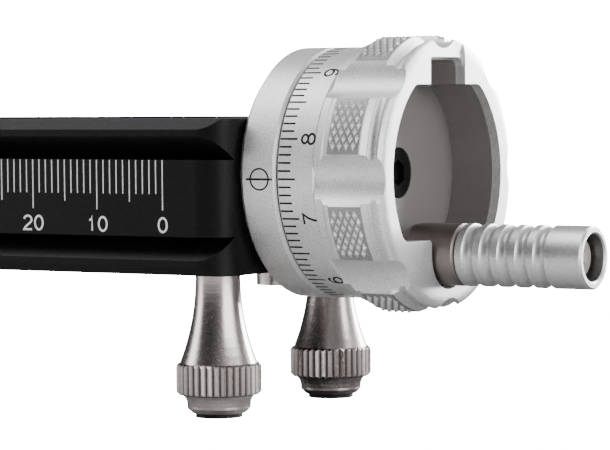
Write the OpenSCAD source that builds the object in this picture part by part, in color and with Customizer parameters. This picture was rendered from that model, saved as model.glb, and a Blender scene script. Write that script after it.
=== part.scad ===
// Macro focusing rail. A dovetail beam stands on four screw-in feet. A carriage with a
// quick-release clamp rides on its upper ways, driven by a lead screw of one millimetre a turn.
// The screw is turned by a graduated drum and a scalloped hand knob, whose crank folds away.
// X runs along the rail towards the knob, Y across it from the scale side to the back, Z up.
// The origin is the mouth of the tripod socket, in the middle of the beam's underside.

/* [Beam] */
// Travel of the carriage, which is also the length of the scale
travel = 120; // [80:1:200]
// Distance from the scale's zero mark to the knob end of the beam
end_margin = 8.9; // [8:0.1:16]
// Width of the beam over its dovetails
rail_w = 38; // [36:0.5:48]
// Height of the scale face between the ways
face_h = 9.5; // [8:0.1:14]
// Depth of the four ways, whose flanks are at 45 degrees
way_depth = 2.9; // [2:0.1:4]
// Height of the plain lip beyond each way
lip_h = 0.85; // [0.5:0.05:2]
// Bevel along the upper edges
top_bevel = 1.3; // [0.5:0.1:2]
// Bevel along the lower edges
bottom_bevel = 1.05; // [0.5:0.05:2]
// Radius of the beam's corners in plan
corner_r = 4; // [2:0.5:8]
// Width of the open channel that holds the screw
channel_w = 17; // [16:0.5:20]
// Thickness of the beam under the channel
channel_floor = 5.15; // [4.8:0.05:6]
// Radius of the channel's corners
channel_corner_r = 2; // [1:0.5:3]
// Thickness of the solid end walls
end_wall = 9; // [8:0.5:16]
// Distance of the screw's axis below the top edge of the scale face
axis_drop = 1.95; // [1:0.05:3]

/* [Sockets] */
// Radius of the wall of the central tripod socket, for a 3/8 inch screw
tripod_r = 4.05; // [2.5:0.05:5]
// Depth of the central tripod socket
tripod_depth = 4.4; // [3:0.1:4.7]
// Radius of the wall of the second tripod socket, for a 1/4 inch screw
side_socket_r = 2.55; // [2:0.05:4]
// Depth of the second tripod socket
side_socket_depth = 4; // [3:0.1:4.7]
// Distance of the second tripod socket from the middle, towards the far end
side_socket_x = 25; // [15:1:30]

/* [Feet] */
// Distance of each foot's axis from the end of the beam
foot_inset = 4.56; // [4:0.01:8]
// Distance between the two feet at one end
foot_spread = 26.7; // [24:0.1:28]
// Height of a whole foot under the beam
foot_h = 17.8; // [14:0.1:30]
// Radius at the top of a foot's stem
foot_neck_r = 2.8; // [2.4:0.05:3.5]
// Radius at the bottom of the flare
foot_flare_r = 4.85; // [4:0.05:6]
// Length of the flare
foot_flare_h = 11.05; // [8:0.05:20]
// Radius over the ridges of the grip band
foot_grip_r = 5.35; // [4.5:0.05:7]
// Height of the grip band
foot_grip_h = 3.9; // [2:0.1:5]
// Depth of the ridges on the grip band
foot_ridge = 0.35; // [0.1:0.05:0.4]
// Number of ridges round the grip band
foot_ridges = 36; // [20:2:40]
// Radius of the foot under the grip band
foot_toe_r = 3.97; // [3:0.05:5]
// Length of the metal toe under the grip band
foot_toe_h = 2.3; // [1:0.1:3]
// Radius of the rubber pad
pad_r = 2.95; // [2:0.05:3.5]
// Radius of the stud that screws into the beam
foot_stud_r = 2.1; // [1.5:0.05:2.3]
// Length of the stud
foot_stud_h = 5.5; // [4:0.5:5.5]

/* [Stop screws] */
// Radius of a stop screw's head
stop_head_r = 3; // [2:0.1:4]
// Height of a stop screw's head
stop_head_h = 2.05; // [1:0.05:3]
// Radius of a stop screw's shank
stop_shank_r = 1.25; // [1:0.05:2]
// Length of a stop screw's shank
stop_shank_h = 5; // [3:0.5:6]
// Distance of the stop screws from the ends of the beam
stop_inset = 3.9; // [3.5:0.1:8]

/* [Lead screw] */
// Radius of the threaded length
screw_r = 4; // [3:0.1:5]
// Radius of the two turned-down ends
journal_r = 3; // [2:0.1:3.5]
// Advance of the carriage for one turn
screw_lead = 1; // [0.5:0.1:2]
// Radius of the thrust collar
collar_ring_r = 6.2; // [5.2:0.1:6.8]
// Length of the thrust collar
collar_ring_t = 3; // [2:0.5:5]

/* [Index ring and bearing] */
// Radius of the fixed index ring
ring_r = 15.8; // [14.5:0.1:20]
// Thickness of the index ring
ring_t = 5.5; // [4.8:0.1:8]
// Bevel at the ring's beam side
ring_back_edge = 0.85; // [0.3:0.1:1.5]
// Bevel at the ring's drum side
ring_front_edge = 0.35; // [0.1:0.05:0.8]
// Outer radius of the ball bearing
bearing_r = 8; // [7.5:0.1:9]
// Width of the ball bearing
bearing_w = 4; // [3:0.1:4.5]
// Thickness of each bearing race
race_t = 1.1; // [0.8:0.05:1.3]
// Number of balls in the bearing
ball_count = 9; // [6:1:10]

/* [Drum] */
// Radius of the graduated drum
drum_r = 15.775; // [14.5:0.025:20]
// Length of the graduated drum
drum_len = 5.26; // [5:0.01:9]
// Gap between the index ring and the drum
drum_gap = 0.3; // [0.2:0.05:0.6]
// Wall thickness of the drum
drum_wall = 1.6; // [1:0.1:3]
// Thickness of the drum's web
drum_web = 2.6; // [2:0.1:3.5]
// Radius of the drum's hub
drum_hub_r = 4.95; // [4.5:0.05:5]

/* [Hand knob] */
// Radius of the knob over the points of its knurl
knob_r = 17.65; // [17:0.05:24]
// Length of the knob's shell, as far as the groove behind the bezel
shell_len = 8.65; // [8:0.05:12]
// Radius of the plain collar next to the drum
knob_collar_r = 16.35; // [16:0.05:16.9]
// Length of the plain collar
knob_collar_len = 1.25; // [0.8:0.05:2]
// Radius of the shoulder before the grip band
shoulder_r = 17; // [16.5:0.05:17.3]
// Distance from the drum to the grip band
grip_start = 2.65; // [2.2:0.05:3.5]
// Length of the grip band
grip_len = 4.4; // [3:0.1:5]
// Radius at the foot of the knurl on the grip band
knurl_root_r = 17.3; // [17.1:0.05:17.5]
// Distance from one point of the knurl to the next along the knob
knurl_pitch = 0.95; // [0.8:0.05:1.2]
// Distance from one row of the knurl to the next round the knob
knurl_row = 0.85; // [0.7:0.05:1.2]
// Radius of the groove behind the bezel
groove_r = 16.4; // [15.9:0.05:16.7]
// Radius of the bezel at its widest
bezel_r = 16.8; // [16.5:0.05:20]
// Outer radius of the bezel's flat front
bezel_face_r = 15.3; // [14.9:0.05:16]
// Thickness of the bezel
bezel_t = 1.25; // [1:0.05:3]
// Number of scallops round the knob
scallops = 8; // [5:1:10]
// Radius of the cutter that makes the scallops
scallop_r = 4.05; // [3:0.05:6]
// Radius from the knob's axis to the floor of the scallops
scallop_floor_r = 15.45; // [15.3:0.05:16.5]
// Turn of the scallops against the crank, in degrees
scallop_turn = 1.5; // [-20:0.5:20]
// Radius of the core that fills the shell
core_r = 14.7; // [14.5:0.05:15]
// Thickness of the shell's web behind the core
shell_web = 1.5; // [1.3:0.1:2.5]
// Thickness of the core's floor
core_floor = 1.25; // [0.8:0.05:1.4]

/* [Knob opening] */
// Radius of the round sides of the opening in the knob
open_r = 13.6; // [13:0.05:14]
// Height of the opening's upper edge above the axis
open_top = 11; // [9:0.1:11.2]
// Depth of the opening's lower edge below the axis
open_bottom = 8.1; // [7:0.1:9]
// Radius of the opening's corners
open_corner_r = 1.9; // [0.5:0.1:2.2]
// Radius of the rounded edges where the lower slot runs out of the opening
slot_mouth_r = 0.6; // [0.2:0.1:1]
// Half the width of the slots for the crank
slot_half = 4.35; // [4.1:0.05:4.6]
// Height of the upper slot's end above the axis
slot_top = 14.35; // [13.8:0.05:14.6]
// Radius of the upper slot's corners
slot_corner_r = 1.3; // [0.5:0.1:2]
// Depth of the relief in the bezel over the upper slot
slot_relief = 0.35; // [0.1:0.05:0.6]

/* [Crank] */
// Radius of the crank
crank_r = 3.87; // [3:0.01:4]
// Distance of the crank's axis from the knob's axis
crank_offset = 10; // [9.5:0.05:10.2]
// Distance of the hinge from the back of the knob's core floor
hinge_x = 5.5; // [5.2:0.05:6]
// Distance from the hinge to the sleeve
block_len = 5.4; // [4:0.1:7]
// Length of the sleeve
sleeve_len = 17.35; // [14:0.05:18]
// Radius of the hinge pin
hinge_pin_r = 1; // [0.8:0.05:1.5]
// Length of the hinge pin
hinge_pin_len = 16; // [12:0.5:20]
// Radius of the shaft that the sleeve turns on
crank_shaft_r = 1.75; // [1.5:0.05:2.2]
// Number of grooves round the sleeve
sleeve_grooves = 5; // [3:1:6]
// Distance from one groove to the next
groove_pitch = 2.45; // [2:0.05:3]
// Width of each groove
groove_w = 1.55; // [1:0.05:2]
// Depth of each groove
groove_depth = 0.42; // [0.2:0.02:0.6]
// Plain length of the sleeve before the first groove
sleeve_plain = 1.1; // [0.8:0.05:2]
// Radius of the counterbore in the sleeve's end
sleeve_bore_r = 2.87; // [2.5:0.01:3.2]
// Depth of the counterbore in the sleeve's end
sleeve_bore_depth = 3.1; // [2:0.1:4]

/* [Carriage] */
// Length of the carriage
carriage_len = 60; // [50:1:80]
// Width of the carriage
carriage_w = 52; // [50:0.5:64]
// Thickness of the carriage's plate over the beam
plate_t = 6; // [5:0.5:10]
// Thickness of the gib that takes up the play
gib_t = 2.9; // [2.5:0.1:4]
// Reading of the scale with the carriage at rest
rest_reading = 70.75; // [0:0.25:80]
// Length of the nut bracket
bracket_len = 26; // [20:1:30]
// Width of the nut bracket
bracket_w = 15; // [13:0.5:16]
// Radius of the two nuts
nut_r = 5.5; // [5.2:0.1:6]

/* [Clamp] */
// Thickness of the clamp's base under the plate that it holds
clamp_base_t = 8.5; // [8:0.1:12]
// Width of the dovetail plate that the clamp holds
clamp_plate_w = 38; // [36:0.5:40]
// Height of the jaws over the clamp's seat
jaw_h = 5.2; // [4.8:0.1:8]
// Thickness of the fixed jaw behind its flank
jaw_back = 9; // [6:0.5:14]
// Travel of the moving jaw from a closed plate outwards
jaw_travel = 4; // [3:0.5:6]
// Radius of the clamp screw
clamp_screw_r = 3; // [2.5:0.1:3.2]
// Radius of the clamp knob
clamp_knob_r = 9.5; // [8:0.5:12]
// Length of the clamp knob
clamp_knob_len = 11; // [8:0.5:16]
// Radius of the guide pins
guide_r = 2; // [1.5:0.1:2.5]
// Distance of each guide pin from the clamp screw
guide_x = 13; // [10:0.5:16]

/* [Hidden] */
$fn = 96;

// Clearances: between pieces of one body, round a turning shaft, on the ways, between flat faces
seat_gap = 0.03;
run_gap = 0.05;
way_gap = 0.1;
face_gap = 0.1;
// Room left beyond the tip of a screw in a blind hole
tip_gap = 0.5;
// Overrun of every cut past the face that it opens
over = 1;

// Colours
black = [0.06, 0.06, 0.065];
silver = [0.80, 0.80, 0.80];
steel = [0.62, 0.61, 0.60];
gunmetal = [0.33, 0.31, 0.29];
bronze = [0.70, 0.52, 0.28];
rubber = [0.05, 0.05, 0.05];

// Beam heights and ends
rail_len = travel + carriage_len + 2 * end_margin;
end_x = rail_len / 2;
zero_x = end_x - end_margin;
side_y = rail_w / 2;
low_way_z = bottom_bevel + lip_h;
face_z0 = low_way_z + way_depth;
face_z1 = face_z0 + face_h;
lip_z = face_z1 + way_depth;
bevel_z = lip_z + lip_h;
rail_h = bevel_z + top_bevel;
axis_z = face_z1 - axis_drop;
channel_end = end_x - end_wall;

// Places along the screw's axis, from the beam's end outwards
ring_x = end_x;
bearing_x = ring_x + ring_t - bearing_w;
drum_x = ring_x + ring_t + drum_gap;
knob_x = drum_x + drum_len;
core_x = knob_x + shell_web;
core_front = knob_x + shell_len;
front_x = core_front + bezel_t;
crank_x = core_x + hinge_x;
crank_z = axis_z - crank_offset;
sleeve_x = crank_x + block_len + face_gap;

// Screws of the index ring
ring_screw_r = 1.5;
ring_screw_head_r = 2.8;
ring_screw_head_h = 1.6;
ring_screw_len = 7;
ring_screw_pitch_r = 11.8;
ring_screw_angles = [22, 158, 202, 338];
ring_hole_r = bearing_r - race_t - 2 * seat_gap;

// Tail bearing
bush_r = 5.4;
bush_flange_r = 6.4;
bush_flange_t = 1.2;
cap_r = 7.2;
cap_t = 1.5;
cap_hole_r = 0.8;
cap_hole_pitch = 4.2;

// Screw ends: the shoulder in the drum's hub, and the tapped hole of the hub screw
hub_shoulder = 3.3;
screw_end_back = 0.35;
hub_tap_r = 1.65;
hub_tap_depth = 9;
hub_head_r = 3.1;
hub_head_h = 1.75;
hub_web = 0.9;
hub_socket_r = 1.7;
hub_socket_depth = 0.9;
hub_shank_len = 7;

// Knob details
seam_bevel = 0.35;
seam_r = 15.6;
knurl_sink = 0.03;
knurl_rows = 3;
knurl_share = 0.9;
band_r = 16.95;
band_len = 0.95;
groove_ramp = 0.3;
bezel_step = 0.35;
bezel_ramp = 0.2;
dome_steps = 5;
drum_edge = 0.2;

// Crank details
crank_end_head_r = 2.2;
crank_end_head_h = 1.4;
crank_end_shank_r = 1.2;
crank_end_shank_len = 6;
crank_end_socket_r = 1.25;
crank_end_socket_depth = 0.8;
shaft_seat = 3;
block_edge = 0.3;
block_back_r = 4.05;
sleeve_edge = 0.25;

// Foot details
flare_steps = 10;
flare_power = 2.1;
toe_fillet = 1.4;
fillet_steps = 4;
toe_bevel = 0.6;
pad_plug_r = 1.6;
pad_plug_h = 1;
grip_edge = 0.35;

// Carriage details
carriage_x1 = zero_x - rest_reading;
carriage_x0 = carriage_x1 - carriage_len;
carriage_x = (carriage_x0 + carriage_x1) / 2;
carriage_y = carriage_w / 2;
plate_z0 = rail_h + face_gap;
plate_z1 = plate_z0 + plate_t;
skirt_z = face_z1 + 2 * way_gap;
carriage_bevel = 1;
carriage_corner_r = 3;
gib_y1 = side_y + gib_t;
bracket_drop = 6.6;
nut_flange_r = 7;
nut_flange_t = 1.5;
nut_len = 11;
preload_nut_len = 5;
nut_screw_r = 1.25;
nut_screw_head_r = 2.25;
nut_screw_head_h = 1.7;
nut_screw_depth = 3;
nut_screw_x = 9;
nut_screw_y = 5.2;
gib_screw_r = 1.5;
gib_screw_x = 22;
gib_screw_socket_r = 0.85;
gib_screw_socket_depth = 1.2;
lock_share = 0.25;
lock_x = -lock_share * carriage_len;
lock_z = (skirt_z + plate_z0) / 2;
way_wall_y = side_y + way_gap;
way_foot_y = side_y - way_depth + way_gap + skirt_z - face_z1;
lock_shank_r = 1.5;
lock_knob_r = 5.6;
lock_knob_len = 8;
lock_neck_r = 3.6;
lock_neck_len = 1.2;
lock_ridge = 0.3;
lock_ridges = 28;
knob_edge = 0.5;

// Clamp details
seat_z = plate_z1 + clamp_base_t;
jaw_top = seat_z + jaw_h;
clamp_half = clamp_plate_w / 2;
flank_h = 2.9;
flank_foot = 0.9;
jaw_nose = clamp_half - flank_h;
clamp_y0 = -(clamp_half + jaw_back);
base_y1 = 12.5;
jaw_close = 1.5;
jaw_y0 = base_y1 + jaw_close;
jaw_y1 = clamp_half + jaw_back;
clamp_bevel = 0.9;
clamp_screw_z = plate_z1 + clamp_base_t / 2;
seat_slot_w = 6;
seat_slot_depth = 0.8;
clamp_neck_r = 5;
clamp_neck_len = 1.2;
clamp_knob_scallops = 8;
clamp_knob_scallop_r = 2.6;
clamp_knob_scallop_depth = 1;
screw_engage = 13;
guide_engage = 16;
clamp_screw_tail = screw_engage + jaw_travel + jaw_close;
guide_len_in = guide_engage + jaw_travel + jaw_close;
guide_seat = 7;
clip_r = 4.2;
clip_t = 0.8;
clip_room = 0.2;
fix_screw_r = 2;
fix_screw_head_r = 3.5;
fix_screw_head_h = 3.4;
fix_screw_len = 8;
fix_screw_x = 22;
fix_screw_y = 0;
fix_socket_r = 1.7;
fix_socket_depth = 1.8;
vial_r = 4.5;
vial_h = 4;
vial_x = 20;
vial_y = -(clamp_half + clamp_bevel + jaw_back / 4);

// Solid turned about X: the outline's points are [radius, distance along X]
module turned_x(outline, x, y = 0, z = axis_z) {
    translate([x, y, z]) rotate([0, 90, 0]) rotate_extrude() polygon(outline);
}

// Solid turned about Y: the outline's points are [radius, distance along Y]
module turned_y(outline, x, y, z) {
    translate([x, y, z]) rotate([-90, 0, 0]) rotate_extrude() polygon(outline);
}

// Plain round bar along X, and along Y
module bar_x(r, x0, x1, y = 0, z = axis_z) {
    translate([x0, y, z]) rotate([0, 90, 0]) cylinder(r = r, h = x1 - x0);
}

module bar_y(r, y0, y1, x, z) {
    translate([x, y0, z]) rotate([-90, 0, 0]) cylinder(r = r, h = y1 - y0);
}

// Outline drawn in Y and Z, carried along X
module carried_x(x0, x1) {
    translate([x0, 0, 0]) rotate([90, 0, 90]) linear_extrude(height = x1 - x0) children();
}

// Rectangle with round corners, about its centre
module round_rect(size_x, size_y, r) {
    square([size_x - 2 * r, size_y], center = true);
    square([size_x, size_y - 2 * r], center = true);
    for (sx = [-1, 1], sy = [-1, 1])
        translate([sx * (size_x / 2 - r), sy * (size_y / 2 - r)]) circle(r = r);
}

// Short bar with pointed ridges along it all round, bevelled at both ends
module ridged_band(r, h, ridge, count, edge) {
    intersection() {
        linear_extrude(height = h) polygon([for (i = [0 : 2 * count - 1])
            (i % 2 == 0 ? r : r - ridge) * [cos(180 * i / count), sin(180 * i / count)]]);
        rotate_extrude() polygon([
            [0, 0],
            [r - edge, 0],
            [r + ridge, edge + ridge],
            [r + ridge, h - edge - ridge],
            [r - edge, h],
            [0, h]
        ]);
    }
}

// Beam

// The beam's section on the back, from the underside up
beam_side = [
    [side_y - bottom_bevel, 0],
    [side_y, bottom_bevel],
    [side_y, low_way_z],
    [side_y - way_depth, face_z0],
    [side_y, face_z0],
    [side_y, face_z1],
    [side_y - way_depth, face_z1],
    [side_y, lip_z],
    [side_y, bevel_z],
    [side_y - top_bevel, rail_h]
];

module foot_places() {
    for (sx = [-1, 1], sy = [-1, 1])
        translate([sx * (end_x - foot_inset), sy * foot_spread / 2, 0]) children();
}

module ring_screw_places() {
    for (a = ring_screw_angles)
        translate([ring_x, ring_screw_pitch_r * cos(a), axis_z + ring_screw_pitch_r * sin(a)])
            rotate([0, 90, 0]) children();
}

module beam_blank() {
    intersection() {
        carried_x(-end_x, end_x) polygon(concat(beam_side,
            [for (i = [len(beam_side) - 1 : -1 : 0]) [-beam_side[i][0], beam_side[i][1]]]));
        linear_extrude(height = rail_h) round_rect(rail_len, rail_w, corner_r);
    }
}

module rail_body() {
    color(black) difference() {
        beam_blank();
        translate([0, 0, channel_floor]) linear_extrude(height = rail_h)
            round_rect(2 * channel_end, channel_w, channel_corner_r);
        bar_x(screw_r + 3 * face_gap, 0, end_x + over);
        bar_x(bush_r, -end_x - over, 0);
        bar_x(cap_r, -end_x - over, -end_x + cap_t);
        foot_places() translate([0, 0, -over])
            cylinder(r = foot_stud_r + seat_gap, h = foot_stud_h + tip_gap + over);
        for (s = [-1, 1]) translate([s * (end_x - stop_inset), 0, -over])
            cylinder(r = stop_shank_r + seat_gap, h = stop_shank_h + over);
        translate([0, 0, -over]) cylinder(r = tripod_r, h = tripod_depth + over);
        translate([-side_socket_x, 0, -over])
            cylinder(r = side_socket_r, h = side_socket_depth + over);
        ring_screw_places() translate([0, 0, -ring_screw_len])
            cylinder(r = ring_screw_r + seat_gap, h = ring_screw_len + over);
    }
}

module stop_screws() {
    color(steel) for (s = [-1, 1]) translate([s * (end_x - stop_inset), 0, 0]) difference() {
        union() {
            translate([0, 0, -stop_head_h]) cylinder(r = stop_head_r, h = stop_head_h);
            cylinder(r = stop_shank_r, h = stop_shank_h - tip_gap);
        }
        translate([0, 0, -stop_head_h - over])
            cylinder(r = stop_shank_r, h = stop_head_h / 2 + over, $fn = 6);
    }
}

// Feet

// Outline of a foot from the beam down: the flare, the toe under the grip band, and its bevel
function foot_outline() = concat(
    [[0, 0]],
    [for (i = [0 : flare_steps]) let (t = i / flare_steps)
        [foot_neck_r + (foot_flare_r - foot_neck_r) * pow(t, flare_power), -foot_flare_h * t]],
    [for (i = [0 : fillet_steps]) let (a = 90 * i / fillet_steps)
        [foot_flare_r - (foot_flare_r - foot_toe_r) * sin(a),
         -foot_flare_h - foot_grip_h - toe_fillet * (1 - cos(a))]],
    [
        [foot_toe_r, -foot_flare_h - foot_grip_h - foot_toe_h + toe_bevel],
        [foot_toe_r - toe_bevel, -foot_flare_h - foot_grip_h - foot_toe_h],
        [0, -foot_flare_h - foot_grip_h - foot_toe_h]
    ]
);

module foot_at(sx, sy) {
    toe_z = -foot_flare_h - foot_grip_h - foot_toe_h;
    translate([sx * (end_x - foot_inset), sy * foot_spread / 2, 0]) difference() {
        union() {
            rotate_extrude() polygon(foot_outline());
            cylinder(r = foot_stud_r, h = foot_stud_h);
            translate([0, 0, -foot_flare_h - foot_grip_h])
                ridged_band(foot_grip_r, foot_grip_h, foot_ridge, foot_ridges, grip_edge);
        }
        translate([0, 0, toe_z - over])
            cylinder(r = pad_plug_r + seat_gap, h = pad_plug_h + over);
    }
}

module pad_at(sx, sy) {
    toe_z = -foot_flare_h - foot_grip_h - foot_toe_h;
    translate([sx * (end_x - foot_inset), sy * foot_spread / 2, 0]) {
        translate([0, 0, -foot_h]) cylinder(r = pad_r, h = foot_h + toe_z);
        translate([0, 0, toe_z]) cylinder(r = pad_plug_r, h = pad_plug_h - face_gap);
    }
}

module foot_1() { color(steel) foot_at(1, -1); }
module foot_2() { color(steel) foot_at(1, 1); }
module foot_3() { color(steel) foot_at(-1, 1); }
module foot_4() { color(steel) foot_at(-1, -1); }
module pad_1() { color(rubber) pad_at(1, -1); }
module pad_2() { color(rubber) pad_at(1, 1); }
module pad_3() { color(rubber) pad_at(-1, 1); }
module pad_4() { color(rubber) pad_at(-1, -1); }

// Far end of the screw

module tail_bush() {
    color(bronze) difference() {
        union() {
            bar_x(bush_r - seat_gap, -end_x + cap_t + face_gap, -channel_end);
            bar_x(bush_flange_r, -channel_end, -channel_end + bush_flange_t);
        }
        bar_x(journal_r + run_gap, -end_x, -channel_end + bush_flange_t + over);
    }
}

module tail_cap() {
    color(black) difference() {
        bar_x(cap_r - seat_gap, -end_x, -end_x + cap_t);
        for (s = [-1, 1])
            bar_x(cap_hole_r, -end_x - over, -end_x + cap_t / 2, y = s * cap_hole_pitch);
    }
}

// Index ring and its bearing

module index_ring() {
    color(silver) difference() {
        turned_x([
            [ring_hole_r, 0],
            [ring_r - ring_back_edge, 0],
            [ring_r, ring_back_edge],
            [ring_r, ring_t - ring_front_edge],
            [ring_r - ring_front_edge, ring_t],
            [bearing_r + seat_gap, ring_t],
            [bearing_r + seat_gap, ring_t - bearing_w],
            [ring_hole_r, ring_t - bearing_w]
        ], ring_x);
        ring_screw_places() {
            translate([0, 0, -over]) cylinder(r = ring_screw_r + seat_gap, h = ring_t + 2 * over);
            translate([0, 0, ring_t - ring_screw_head_h])
                cylinder(r = ring_screw_head_r + seat_gap, h = ring_screw_head_h + over);
        }
    }
}

module ring_screws() {
    color(steel) ring_screw_places() difference() {
        union() {
            translate([0, 0, ring_t - ring_screw_head_h])
                cylinder(r = ring_screw_head_r, h = ring_screw_head_h - face_gap);
            translate([0, 0, tip_gap - ring_screw_len]) cylinder(r = ring_screw_r,
                h = ring_screw_len + ring_t - ring_screw_head_h - tip_gap);
        }
        translate([0, 0, ring_t - ring_screw_head_h / 2])
            cylinder(r = ring_screw_r, h = ring_screw_head_h, $fn = 6);
    }
}

module race(r0, r1) {
    difference() {
        bar_x(r1, bearing_x, bearing_x + bearing_w);
        bar_x(r0, bearing_x - over, bearing_x + bearing_w + over);
    }
}

module bearing_outer() {
    color(steel) race(bearing_r - race_t, bearing_r);
}

module bearing_inner() {
    color(steel) race(screw_r + seat_gap, screw_r + race_t);
}

module bearing_balls() {
    track_w = bearing_r - screw_r - 2 * race_t;
    color(steel) for (i = [0 : ball_count - 1])
        translate([bearing_x + bearing_w / 2, 0, axis_z]) rotate([360 * i / ball_count, 0, 0])
            translate([0, screw_r + race_t + track_w / 2, 0])
                sphere(r = track_w / 2 - run_gap, $fn = 32);
}

// Lead screw, drum and knob

module lead_screw() {
    color(steel) difference() {
        union() {
            bar_x(journal_r, -end_x + cap_t + 2 * face_gap, 0);
            bar_x(screw_r, -channel_end + bush_flange_t + face_gap, drum_x + hub_shoulder);
            bar_x(journal_r, drum_x, knob_x - screw_end_back);
        }
        bar_x(hub_tap_r, knob_x - screw_end_back - hub_tap_depth, knob_x);
    }
}

module thrust_collar() {
    color(steel) difference() {
        bar_x(collar_ring_r, channel_end - face_gap - collar_ring_t, channel_end - face_gap);
        bar_x(screw_r + seat_gap, channel_end - collar_ring_t - over, channel_end + over);
    }
}

module drum() {
    color(silver) turned_x([
        [screw_r + seat_gap, -drum_gap],
        [drum_hub_r, -drum_gap],
        [drum_hub_r, drum_len - drum_web],
        [drum_r - drum_wall, drum_len - drum_web],
        [drum_r - drum_wall, 0],
        [drum_r - drum_edge, 0],
        [drum_r, drum_edge],
        [drum_r, drum_len - drum_edge],
        [drum_r - drum_edge, drum_len],
        [journal_r + seat_gap, drum_len],
        [journal_r + seat_gap, hub_shoulder + seat_gap],
        [screw_r + seat_gap, hub_shoulder + seat_gap]
    ], drum_x);
}

// The straight scallops, cut past both ends of the knob
module scallop_cuts() {
    for (i = [0 : scallops - 1])
        translate([0, 0, axis_z]) rotate([scallop_turn + 360 * i / scallops, 0, 0])
            bar_x(scallop_r, knob_x - over, front_x + over, -scallop_floor_r - scallop_r, 0);
}

// Knurl on the lands between the scallops: staggered rows of four-sided points
module knurl_points() {
    reach = knurl_share * knurl_pitch / 2;
    stretch = 2 * knurl_row / knurl_pitch;
    row_turn = 180 * knurl_row / (PI * knurl_root_r);
    for (i = [0 : scallops - 1], row = [-knurl_rows : knurl_rows])
        for (column = row % 2 == 0 ? [-1, 0, 1] : [-1.5, -0.5, 0.5, 1.5])
            translate([knob_x + grip_start + grip_len / 2 + knurl_pitch * column, 0, axis_z])
                rotate([scallop_turn + 360 * (i + 0.5) / scallops + row_turn * row, 0, 0])
                    translate([0, 0, knurl_root_r - knurl_sink]) scale([1, stretch, 1])
                        cylinder(r1 = reach, r2 = 0, h = knob_r - knurl_root_r + knurl_sink,
                            $fn = 4);
}

module knob_shell() {
    color(silver) knurl_points();
    color(silver) difference() {
        turned_x([
            [hub_tap_r + 3 * face_gap, 0],
            [seam_r, 0],
            [knob_collar_r, seam_bevel],
            [knob_collar_r, knob_collar_len],
            [shoulder_r, (knob_collar_len + grip_start) / 2],
            [shoulder_r, grip_start],
            [knurl_root_r, grip_start],
            [knurl_root_r, grip_start + grip_len],
            [band_r, grip_start + grip_len + band_len],
            [groove_r, grip_start + grip_len + band_len + groove_ramp],
            [groove_r, shell_len],
            [core_r, shell_len],
            [core_r, shell_web],
            [hub_head_r + face_gap, shell_web],
            [hub_head_r + face_gap, hub_web],
            [hub_tap_r + 3 * face_gap, hub_web]
        ], knob_x);
        scallop_cuts();
    }
}

// Outline of the opening in Y and Z about the knob's axis. Its round sides run into flat upper
// and lower edges by round corners, and it is slotted up and down for the crank.
module opening_outline(slot, slot_up) {
    for (edge = [[1, open_top], [-1, open_bottom]]) {
        corner_z = edge[1] - open_corner_r;
        corner_y = sqrt(pow(open_r - open_corner_r, 2) - pow(corner_z, 2));
        tangent_z = corner_z * open_r / (open_r - open_corner_r);
        intersection() {
            circle(r = open_r);
            translate([-open_r, edge[0] > 0 ? 0 : -tangent_z]) square([2 * open_r, tangent_z]);
        }
        translate([-corner_y, edge[0] > 0 ? 0 : -edge[1]]) square([2 * corner_y, edge[1]]);
        for (s = [-1, 1]) translate([s * corner_y, edge[0] * corner_z]) circle(r = open_corner_r);
    }
    translate([-slot, 0]) square([2 * slot, slot_up - slot_corner_r]);
    translate([slot_corner_r - slot, 0]) square([2 * (slot - slot_corner_r), slot_up]);
    for (s = [-1, 1])
        translate([s * (slot - slot_corner_r), slot_up - slot_corner_r]) circle(r = slot_corner_r);
    translate([-slot, -crank_offset]) square([2 * slot, crank_offset]);
    translate([0, -crank_offset]) circle(r = slot);
    for (s = [-1, 1]) difference() {
        translate([s * slot, -open_bottom]) square(2 * slot_mouth_r, center = true);
        translate([s * (slot + slot_mouth_r), -open_bottom - slot_mouth_r])
            circle(r = slot_mouth_r);
    }
}

module opening_cut(x0, x1, slot, slot_up) {
    translate([0, 0, axis_z]) carried_x(x0, x1) opening_outline(slot, slot_up);
}

module crank_core() {
    color(gunmetal) difference() {
        bar_x(core_r - seat_gap, core_x, core_front);
        opening_cut(core_x + core_floor, core_front + over, slot_half - 2 * face_gap,
            slot_top - 3 * face_gap);
        bar_x(hub_head_r + face_gap, core_x - over, core_front);
        bar_y(hinge_pin_r + seat_gap, -core_r, core_r, crank_x, crank_z);
    }
}

module knob_bezel() {
    dome_x = bezel_step + bezel_ramp;
    color(silver) difference() {
        turned_x(concat(
            [[0, 0], [groove_r, 0], [groove_r, bezel_step]],
            [for (i = [0 : dome_steps]) let (a = 90 * i / dome_steps)
                [bezel_face_r + (bezel_r - bezel_face_r) * cos(a),
                 dome_x + (bezel_t - dome_x) * sin(a)]],
            [[0, bezel_t]]
        ), core_front);
        scallop_cuts();
        opening_cut(core_front - over, front_x + over, slot_half, slot_top);
        translate([front_x - slot_relief, -slot_half, axis_z])
            cube([over, 2 * slot_half, knob_r]);
    }
}

module hub_screw() {
    color(black) difference() {
        union() {
            bar_x(hub_head_r, knob_x + hub_web, knob_x + hub_web + hub_head_h);
            bar_x(hub_tap_r - seat_gap, knob_x + hub_web - hub_shank_len, knob_x + hub_web);
        }
        translate([knob_x + hub_web + hub_head_h - hub_socket_depth, 0, axis_z])
            rotate([0, 90, 0]) cylinder(r = hub_socket_r, h = over + hub_socket_depth, $fn = 6);
    }
}

// Crank

module hinge_pin() {
    color(steel) bar_y(hinge_pin_r, -hinge_pin_len / 2, hinge_pin_len / 2, crank_x, crank_z);
}

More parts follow.
